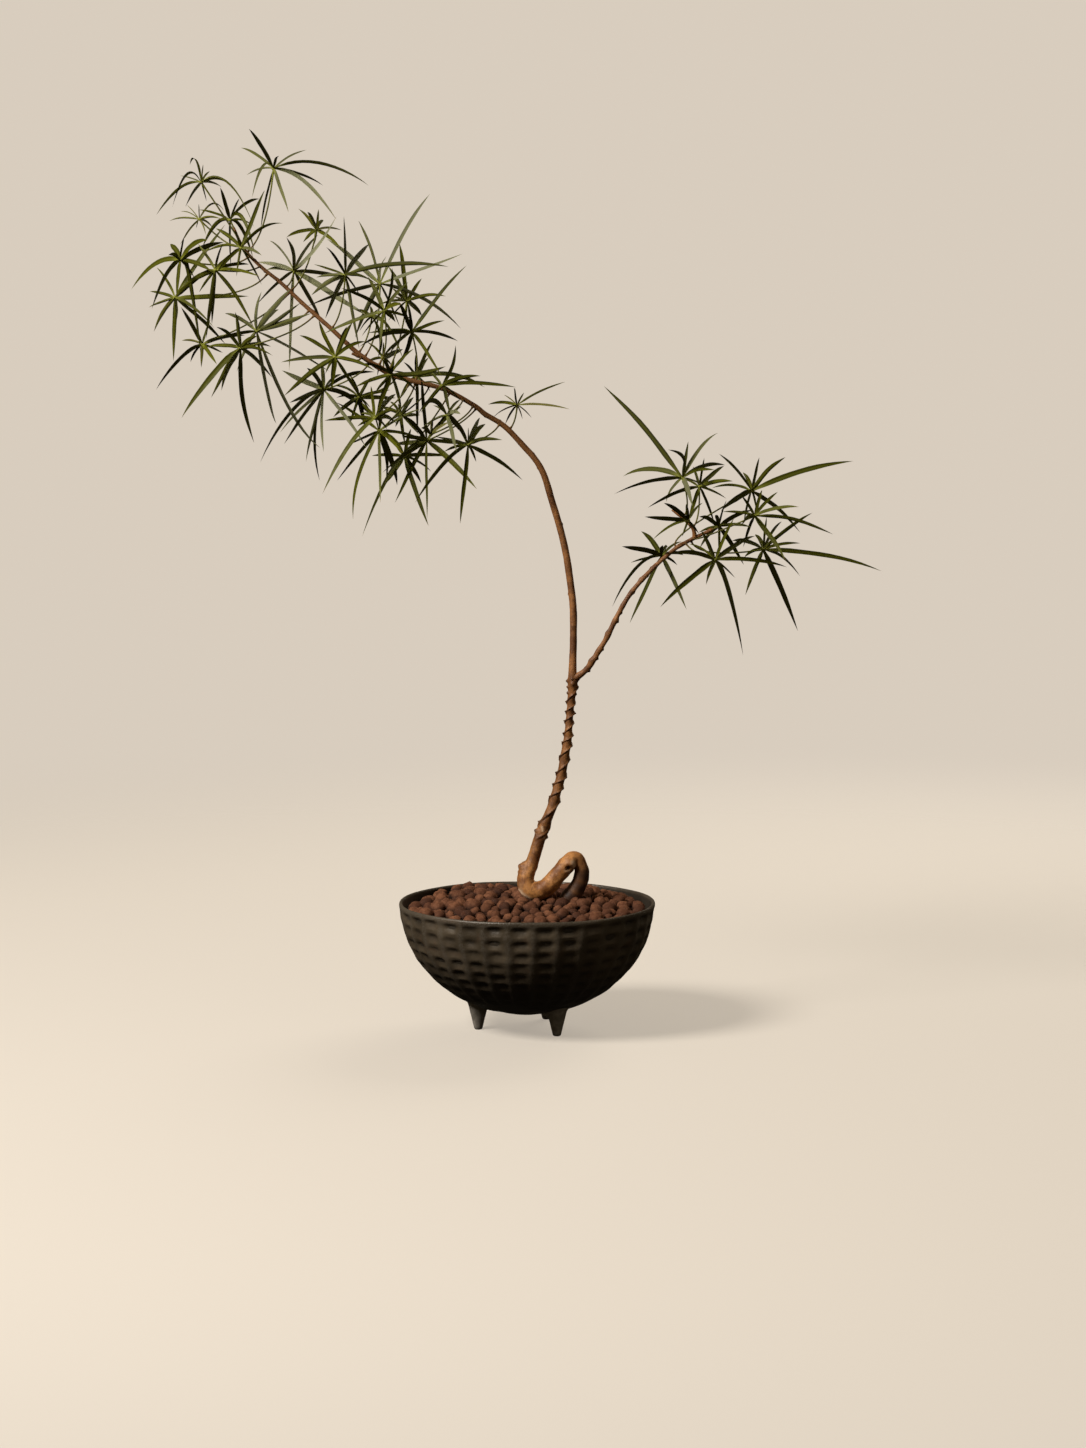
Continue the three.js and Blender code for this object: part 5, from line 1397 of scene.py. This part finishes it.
def stemPoints():
    points = []
    for number, (line, first) in enumerate(((stemLine, 6), (branchLine, 5), (forkLine, 1), (sprigLine, 1))):
        dense = smoothLine(line, 5)
        for index in range(first * 5, len(dense)):
            before = dense[max(index - 1, 0), :3]
            after = dense[min(index + 1, len(dense) - 1), :3]
            points.append({"centre": dense[index, :3], "along": unit(after - before), "line": number,
                           "index": index})
    return points


def petioleCurve(leaf, stems, slide, tree):
    hub = onSight(*leaf["hub"])
    distances = [np.linalg.norm(point["centre"] - hub) for point in stems]
    nearest = stems[int(np.argmin(distances))]
    spread = [share * (leafForm["petioleRadius"] + 0.1) for share in (-1, -0.5, 0, 0.5, 1)]
    if leaf.get("atTip"):
        outward = nearest["along"]
        height = surfaceHeight(tree, nearest["centre"], outward, np.array([0.0, 1.0, 0.0]), spread)
        start = nearest["centre"] + outward * (height + leafForm["fitGap"])
        return (start, (start + hub) / 2, hub), outward
    reach = min(distances)
    root = nearest
    for point in stems:
        back = np.linalg.norm(point["centre"] - nearest["centre"])
        lower = point["line"] == nearest["line"] and point["index"] < root["index"]
        if lower and back <= reach * 0.4 + slide:
            root = point
    outward = hub - root["centre"]
    outward = unit(outward - root["along"] * (outward @ root["along"]))
    height = surfaceHeight(tree, root["centre"], outward, root["along"], spread)
    start = root["centre"] + outward * (height + leafForm["fitGap"])
    return (start, start + outward * reach * 0.35, hub), outward


def leafletCurve(leaf, tip, longest, factor, lift):
    place = leaf["hub"]
    hub = onSight(*place)
    reach = math.hypot(tip[0], tip[1])
    hidden = math.sqrt(max(longest * longest - reach * reach, 0)) * leafForm["hiddenShare"]
    depth = min(max(hidden, leafForm["shortestDepth"]), leafForm["longestDepth"]) * factor
    end = onSight(place[0] + tip[0], place[1] + depth, place[2] + tip[1])
    rise = tip[2] if len(tip) > 2 else leafForm["usualRise"] * math.hypot(tip[0], depth)
    bow = tip[3] if len(tip) > 3 else 0
    bend = (hub + end) / 2 + (2 * bow, 0, 2 * rise + lift)
    return hub, bend, end


def layOutLeaves(leaves, tree):
    stems = stemPoints()
    placed = Placed()
    for line in (stemLine, branchLine, forkLine, sprigLine, baseLine):
        dense = smoothLine(line, 3)
        for index in range(len(dense) - 1):
            placed.add(-1, dense[index:index + 2, :3], dense[index, 3] + 0.8)
    for owner, leaf in enumerate(leaves):
        hub = onSight(*leaf["hub"])
        placed.add(owner, np.array([hub, hub + (0, 0, 0.1)]), leafForm["hubClearance"])
    radius = leafForm["petioleRadius"]
    for owner, leaf in enumerate(leaves):
        for slide in leafForm["slides"]:
            leaf["petiole"], leaf["outward"] = petioleCurve(leaf, stems, slide, tree)
            points = curvePoints(leaf["petiole"], 5)
            others = (placed.owners >= 0) & (placed.owners != owner)
            if placed.isClear(points, radius + 0.6, others) and \
                    placed.isClear(points[2:], radius + 0.3, placed.owners < 0):
                break
        placed.add(owner, points, radius + 0.4)
    clearance = leafForm["leafletClearance"]
    for owner, leaf in enumerate(leaves):
        longest = max(leafForm["shortestWhorl"], *(math.hypot(tip[0], tip[1]) for tip in leaf["tips"]))
        leaf["leaflets"] = []
        for order, tip in enumerate(leaf["tips"]):
            sign = 1 if (order + owner) % 2 == 0 else -1
            for lift, factor in itertools.product(leafForm["liftChoices"], leafForm["depthChoices"]):
                curve = leafletCurve(leaf, tip, longest, factor * sign, lift)
                points = curvePoints(curve, 6)
                if placed.isClear(points, clearance, placed.owners != owner):
                    share = (order * 0.618 + owner * 0.37) % 1
                    roll = leafForm["leastRoll"] + leafForm["rollRange"] * share
                    roll *= 1 if order % 2 == 0 else -1
                    leaf["leaflets"].append((curve, roll, 1.0))
                    placed.add(owner, points, clearance)
                    break
    random = np.random.RandomState(leafForm["seed"])
    for owner, leaf in enumerate(leaves):
        addInnerLeaflets(owner, leaf, placed, random)


# Short thin leaflets that fill the widest gaps of a whorl, inside the reach of its others
def addInnerLeaflets(owner, leaf, placed, random):
    form = leafForm["inner"]
    clearance = leafForm["leafletClearance"] * leafForm["innerClearance"]
    turns = [math.atan2(tip[1], tip[0]) for tip in leaf["tips"]]
    usual = float(np.median([math.hypot(tip[0], tip[1]) for tip in leaf["tips"]]))
    if usual < form["leastWhorl"]:
        return
    for _ in range(min(form["most"], form["whorl"] - len(turns))):
        turns.sort()
        gaps = [(after - before) % (2 * math.pi) for before, after in zip(turns, turns[1:] + turns[:1])]
        widest = int(np.argmax(gaps))
        turn = turns[widest] + gaps[widest] * random.uniform(0.4, 0.6)
        turns.append((turn + math.pi) % (2 * math.pi) - math.pi)
        reach = usual * random.uniform(*form["reach"])
        tip = (reach * math.cos(turn), reach * math.sin(turn), reach * random.uniform(0.02, 0.14))
        for factor in leafForm["innerDepths"]:
            curve = leafletCurve(leaf, tip, reach * 1.3, factor, 0)
            points = curvePoints(curve, 6)
            if placed.isClear(points, clearance, placed.owners != owner):
                leaf["leaflets"].append((curve, random.uniform(0.6, 1.3), form["width"]))
                placed.add(owner, points, clearance)
                break


# Blade section, seen along the leaflet: shares of the half width and fold height; one point is the underside.
bladeSection = {
    "across": (-1.0, -0.5, 0.0, 0.5, 1.0, 0.0),
    "fold": (1.0, 0.42, -0.04, 0.42, 1.0, 0.0),
    "under": (0.0, 0.0, 0.0, 0.0, 0.0, 1.0),
}


# A blade that would show its edge alone to the viewpoint is rolled until some of its face shows.
def facingRoll(roll, centre, along, across, random):
    sight = unit(np.array(leafForm["viewpoint"]) - centre)
    edgeOn = math.atan2(np.cross(along, across) @ sight, across @ sight)
    turn = (roll - edgeOn + math.pi) % (2 * math.pi) - math.pi
    least = math.asin(random.uniform(*leafForm["leastFacing"]))
    if abs(math.sin(turn)) < math.sin(least):
        turn = math.copysign(least if abs(turn) < math.pi / 2 else math.pi - least, turn)
    return edgeOn + turn


def addBlade(piece, curve, roll, random, slender, tone, bloom):
    start, _, end = curve
    length = np.linalg.norm(end - start)
    steps = leafForm["stations"]
    shares = np.linspace(0, 1, steps + 1)[:-1] ** leafForm["bladeEase"]
    centres = curveAt(curve, shares)
    along = curveAt(curve, shares + 0.01) - centres
    along /= np.linalg.norm(along, axis=1)[:, None]
    flat = np.array([end[0] - start[0], end[1] - start[1], 0.0])
    if np.linalg.norm(flat) < 1:
        flat = np.array([1.0, 0.0, 0.0])
    level = unit([-flat[1], flat[0], 0.0])
    across = level - along * (along @ level)[:, None]
    across /= np.linalg.norm(across, axis=1)[:, None]
    roll = facingRoll(roll, centres[steps // 2], along[steps // 2], across[steps // 2], random)
    twist = roll + random.uniform(-leafForm["bladeTwist"], leafForm["bladeTwist"]) * (shares - 0.3)
    turned = across * np.cos(twist)[:, None] + np.cross(along, across) * np.sin(twist)[:, None]
    down = np.cross(turned, along)
    wave = length * leafForm["bladeWave"] * random.uniform(-1, 1) * np.sin(math.pi * shares)
    wave *= np.cos(shares * 4.0 + random.uniform(0, 6))
    centres = centres + turned * wave[:, None]
    beyond = np.clip((shares - 0.5) / 0.5, 0, 1)
    profile = (0.34 + 0.66 * smoothStep(-0.02, 0.2, shares)) * (1 - 0.16 * shares)
    profile *= 1 - beyond ** leafForm["tipCurve"]
    half = leafForm["width"] / 2 * slender * (0.7 + 0.3 * smoothStep(25, 80, length)) * profile
    half = half * (1 + leafForm["bladeRipple"] * np.sin(shares * 21 + random.uniform(0, 6)))
    fold = half * (0.27 - 0.12 * shares)
    thick = np.minimum(0.75 - 0.35 * shares, 0.25 + half * 0.5)
    rings = []
    for offset, rise, under in zip(*bladeSection.values()):
        lift = fold * rise - thick * under
        rings.append(centres + turned * (half * offset)[:, None] - down * lift[:, None])
    rings = np.stack(rings, axis=1)
    sides = rings.shape[1]
    points = np.vstack([rings.reshape(-1, 3), rings[0].mean(0), end])
    faces = []
    for ring in range(steps - 1):
        faces += bridgeRings(ring * sides, (ring + 1) * sides, sides, reverse=True)
    faces += fanAt(0, sides, steps * sides)
    faces += fanAt((steps - 1) * sides, sides, steps * sides + 1, reverse=True)
    data = np.zeros((len(points), 3))
    data[:-2, 0] = np.tile(bladeSection["across"], steps)
    data[:-2, 1] = np.repeat(shares, sides)
    data[:-2, 2] = np.tile(bladeSection["under"], steps)
    data[-1, 1] = 1.0
    piece.add(points, faces, blade=data, tone=tone, bloom=bloom, stalk=0.0, span=length)


def addPetiole(piece, leaf, tree, tone):
    start, _, end = leaf["petiole"]
    outward = leaf["outward"]
    shares = np.linspace(0, 1, leafForm["petioleSteps"] + 1)
    centres = curveAt(leaf["petiole"], shares)
    hit, _, _, _ = tree.ray_cast(Vector(start + outward * 3), Vector(-outward), 12)
    seat = start - outward * 1.2 if hit is None else np.array(hit) - outward * 0.5
    centres += (seat - start) * ((1 - shares) ** 6)[:, None]
    length = max(np.linalg.norm(end - start), 6.0)
    travelled = shares * length
    thin, (footRise, footReach), (topRise, topReach) = leafForm["petioleForm"]
    radius = thin + footRise * np.exp(-(travelled / footReach) ** 2)
    radius += topRise * np.exp(-((length - travelled) / topReach) ** 2)
    along = np.gradient(centres, axis=0)
    along[0] = outward
    along /= np.linalg.norm(along, axis=1)[:, None]
    chord = unit(end - start)
    reference = np.array([0.0, 1.0, 0.0]) if abs(chord[1]) < 0.7 else np.array([1.0, 0.0, 0.0])
    across = np.cross(along, reference)
    across /= np.linalg.norm(across, axis=1)[:, None]
    other = np.cross(along, across)
    turns = np.arange(leafForm["petioleSides"]) * 2 * math.pi / leafForm["petioleSides"]
    rings = centres[:, None] + radius[:, None, None] * (across[:, None] * np.cos(turns)[None, :, None]
                                                         + other[:, None] * np.sin(turns)[None, :, None])
    points, faces = closedTube(rings)
    data = np.zeros((len(points), 3))
    data[:-2, 1] = np.repeat(shares, leafForm["petioleSides"])
    data[-1, 1] = 1.0
    piece.add(points, faces, blade=data, tone=tone, bloom=0.0, stalk=1.0, span=length)


def makeLeaf(name, leaf, tree, ball, random):
    piece = Collector(blade=3, tone=1, bloom=1, stalk=1, span=1)
    young = name in leafForm["young"]
    leafTone = random.uniform(0.78, 1.0) if young else random.uniform(0.05, 0.7)
    slender = leafForm["slender"].get(name, 1.0)
    addPetiole(piece, leaf, tree, leafTone)
    points, faces = ball
    shape = points * (1.0, 1.0, 0.8) * leafForm["hubRadius"] * (0.75 if young else random.uniform(0.9, 1.15))
    shape = shape * (1 + leafForm["hubLumps"] * noiseAt(points, 0.7, random.uniform(0, 90)))[:, None]
    data = np.zeros((len(shape), 3))
    data[:, 1] = 1.0
    piece.add(shape + leaf["petiole"][2], faces, blade=data, tone=leafTone, bloom=0.0, stalk=1.0,
              span=5.0)
    for curve, roll, share in leaf["leaflets"]:
        tone = float(np.clip(leafTone + random.uniform(-0.2, 0.2), 0, 1))
        # pale bloom, partly a painted sheen
        bloom = leafForm["bloom"].get(name, -0.12) + random.uniform(-0.3, 0.3)
        width = slender * share * random.uniform(0.76, 1.16)
        addBlade(piece, curve, roll, random, width, tone, max(bloom, 0.0))
    return piece.build(name + "_blades", sharpAngle=60)


leafColours = {
    "old": (0.023, 0.0245, 0.0003),
    "fresh": (0.066, 0.069, 0.0012),
    "mottle": (0.031, 0.03, 0.0005),
    "young": (0.12, 0.1, 0.03),
    # pale waxy bloom and painted sheen
    "bloom": (0.19, 0.19, 0.115),
    "vein": (0.1, 0.11, 0.02),
    "underside": (0.12, 0.12, 0.014),
    "midrib": (0.13, 0.13, 0.014),
    "heart": (0.15, 0.155, 0.022),
    "dryTip": (0.16, 0.085, 0.035),
    "margin": (0.09, 0.09, 0.03),
    "stalkFoot": (0.13, 0.07, 0.022),
    "stalk": (0.105, 0.1, 0.022),
    "stalkTop": (0.17, 0.175, 0.025),
}


def leafMaterial():
    surface = newMaterial("leafGreen")
    tree = surface[1]
    place = objectPlace(tree)
    blade = attributeOf(tree, "blade", "Vector")
    parts = shaderNode(tree, "ShaderNodeSeparateXYZ", {"Vector": blade}).outputs
    across = combine(tree, "ABSOLUTE", parts["X"])
    along = parts["Y"]
    under = parts["Z"]
    tone = attributeOf(tree, "tone")
    mottle = noiseOf(tree, place, 0.012, 4.0, 0.6)
    fine = noiseOf(tree, place, 0.0017, 3.0, 0.6)
    # side veins slant forward from the midrib
    travelled = multiply(tree, along, attributeOf(tree, "span"))
    slant = combine(tree, "SUBTRACT", travelled, multiply(tree, across, 2.6))
    veins = combine(tree, "SINE", multiply(tree, slant, 3.4))
    evenTone = remap(tree, tone, 0.0, 0.75, smooth=False)
    base = blendColours(tree, evenTone, leafColours["old"], leafColours["fresh"])
    base = layered(tree, base, [
        (remap(tree, mottle, 0.38, 0.66, 0.0, 0.4), leafColours["mottle"]),
        (remap(tree, tone, 0.76, 0.95, 0.0, 0.6), leafColours["young"]),
        # pale waxy bloom and painted sheen
        (attributeOf(tree, "bloom"), leafColours["bloom"]),
        (multiply(tree, remap(tree, veins, 0.72, 1.0), 0.06), leafColours["vein"]),
    ])
    paler = blendColours(tree, 0.4, base, leafColours["underside"])
    base = blendColours(tree, remap(tree, under, 0.25, 0.9), base, paler)
    stalk = blendColours(tree, remap(tree, along, 0.0, 0.35), leafColours["stalkFoot"], leafColours["stalk"])
    stalk = blendColours(tree, remap(tree, along, 0.75, 1.0), stalk, leafColours["stalkTop"])
    dryTip = multiply(tree, remap(tree, along, 0.9, 1.0), remap(tree, tone, 0.3, 0.6), 0.6)
    base = layered(tree, base, [
        (multiply(tree, remap(tree, across, 0.02, 0.3, 1.0, 0.0), 0.25), leafColours["midrib"]),
        (remap(tree, along, 0.02, 0.2, 0.8, 0.0), leafColours["heart"]),
        (dryTip, leafColours["dryTip"]),
        (multiply(tree, remap(tree, across, 0.8, 1.0), 0.1), leafColours["margin"]),
        (attributeOf(tree, "stalk"), stalk),
    ])
    rough = remap(tree, mottle, 0.3, 0.7, 0.48, 0.6)
    rough = combine(tree, "ADD", rough, multiply(tree, under, 0.2), clamp=True)
    return finishSurface(surface, base, rough, 0.1, [(veins, 0.05, 0.0001), (fine, 0.15, 0.0001)])


# Stage

def makeStage():
    rings = lights["floorRings"]
    columns = lights["floorColumns"]
    middle = lights["floorMiddle"]
    turns = np.arange(columns) * 2 * math.pi / columns
    grid = []
    for reach in np.linspace(0, lights["floorRadius"] / millimetre, rings + 1)[1:]:
        x = middle + reach * np.cos(turns)
        grid.append(np.stack([x, reach * np.sin(turns), np.zeros(columns)], axis=-1))
    points = np.vstack(grid + [np.array([[middle, 0.0, 0.0]])])
    faces = fanAt(0, columns, len(points) - 1)
    for ring in range(rings - 1):
        faces += bridgeRings(ring * columns, (ring + 1) * columns, columns, reverse=True)
    floor = makeObject("floor", points, faces)
    material, tree, shader = newMaterial("floorPlain")
    place = objectPlace(tree)
    reach = shaderNode(tree, "ShaderNodeVectorMath", {0: place}, operation="LENGTH").outputs["Value"]
    grain = noiseOf(tree, place, 0.004, 3.0)
    plain = lights["floorColour"]
    darker = tuple(value * 0.97 for value in plain)
    feed(tree, shader.inputs["Base Color"], blendColours(tree, grain, plain, darker))
    shader.inputs["Roughness"].default_value = 0.85
    shader.inputs["Specular IOR Level"].default_value = 0.1
    shader.inputs["Emission Color"].default_value = (*lights["floorGlow"], 1.0)
    shader.inputs["Emission Strength"].default_value = 1.0
    near, far = lights["floorFade"]
    feed(tree, shader.inputs["Alpha"], remap(tree, reach, near, far, 1.0, 0.0))
    floor.data.materials.append(material)
    floor.visible_diffuse = False  # a pale floor would light the dark underside of the bowl
    floor.visible_glossy = False
    dome = bmesh.new()
    bmesh.ops.create_icosphere(dome, subdivisions=5, radius=lights["backdropRadius"])
    mesh = bpy.data.meshes.new("backdrop")
    dome.to_mesh(mesh)
    dome.free()
    backdrop = bpy.data.objects.new("backdrop", mesh)
    bpy.context.collection.objects.link(backdrop)
    material, tree, shader = newMaterial("backdropPlain")
    shader.inputs["Base Color"].default_value = (0.0, 0.0, 0.0, 1.0)
    shader.inputs["Specular IOR Level"].default_value = 0.0
    shader.inputs["Emission Color"].default_value = (*lights["backdropColour"], 1.0)
    shader.inputs["Emission Strength"].default_value = 1.0
    mesh.materials.append(material)
    backdrop.visible_diffuse = False
    backdrop.visible_glossy = False
    backdrop.visible_transmission = False
    backdrop.visible_shadow = False


# Everything in order

makeCamera()
makeLights()
makeStage()
print("camera, lights and stage")
beatenMetal = bowlMetal()
dress(makeBowl(beatenMetal), ["bowl"], beatenMetal)
castMetal = footMetal()
for footName, footAngle in foot["angles"].items():
    dress(makeFoot(footName, footAngle), [footName], castMetal)
print("bowl and feet")
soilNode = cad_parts["soil"]
soilNode.data.materials.clear()
soilNode.data.materials.append(soilEarth())
woodLine = smoothLine(np.vstack([baseLine, stemLine[1:3]]), 8)
clay = firedClay()
dress(makePebbles(woodLine, clay), ["pebbles"], clay)
print("soil and pebbles")
trunk = makeTrunk()
dress(trunk, ["trunk"], barkMaterial())
print("trunk")
layOutLeaves(leftLeaves + rightLeaves, surfaceTree(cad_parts["trunk"]))
print("leaf layout", sum(len(leaf["leaflets"]) for leaf in leftLeaves + rightLeaves), "leaflets")
woodTree = surfaceTree(trunk)
leafGreen = leafMaterial()
hubBall = ballShape(2)
leafRandom = np.random.RandomState(leafForm["seed"])
for group, leaves in (("left", leftLeaves), ("right", rightLeaves)):
    for number, leaf in enumerate(leaves, 1):
        leafName = f"leaf_{group}_{number:02d}"
        dress(makeLeaf(leafName, leaf, woodTree, hubBall, leafRandom), [leafName], leafGreen)
print("leaves")
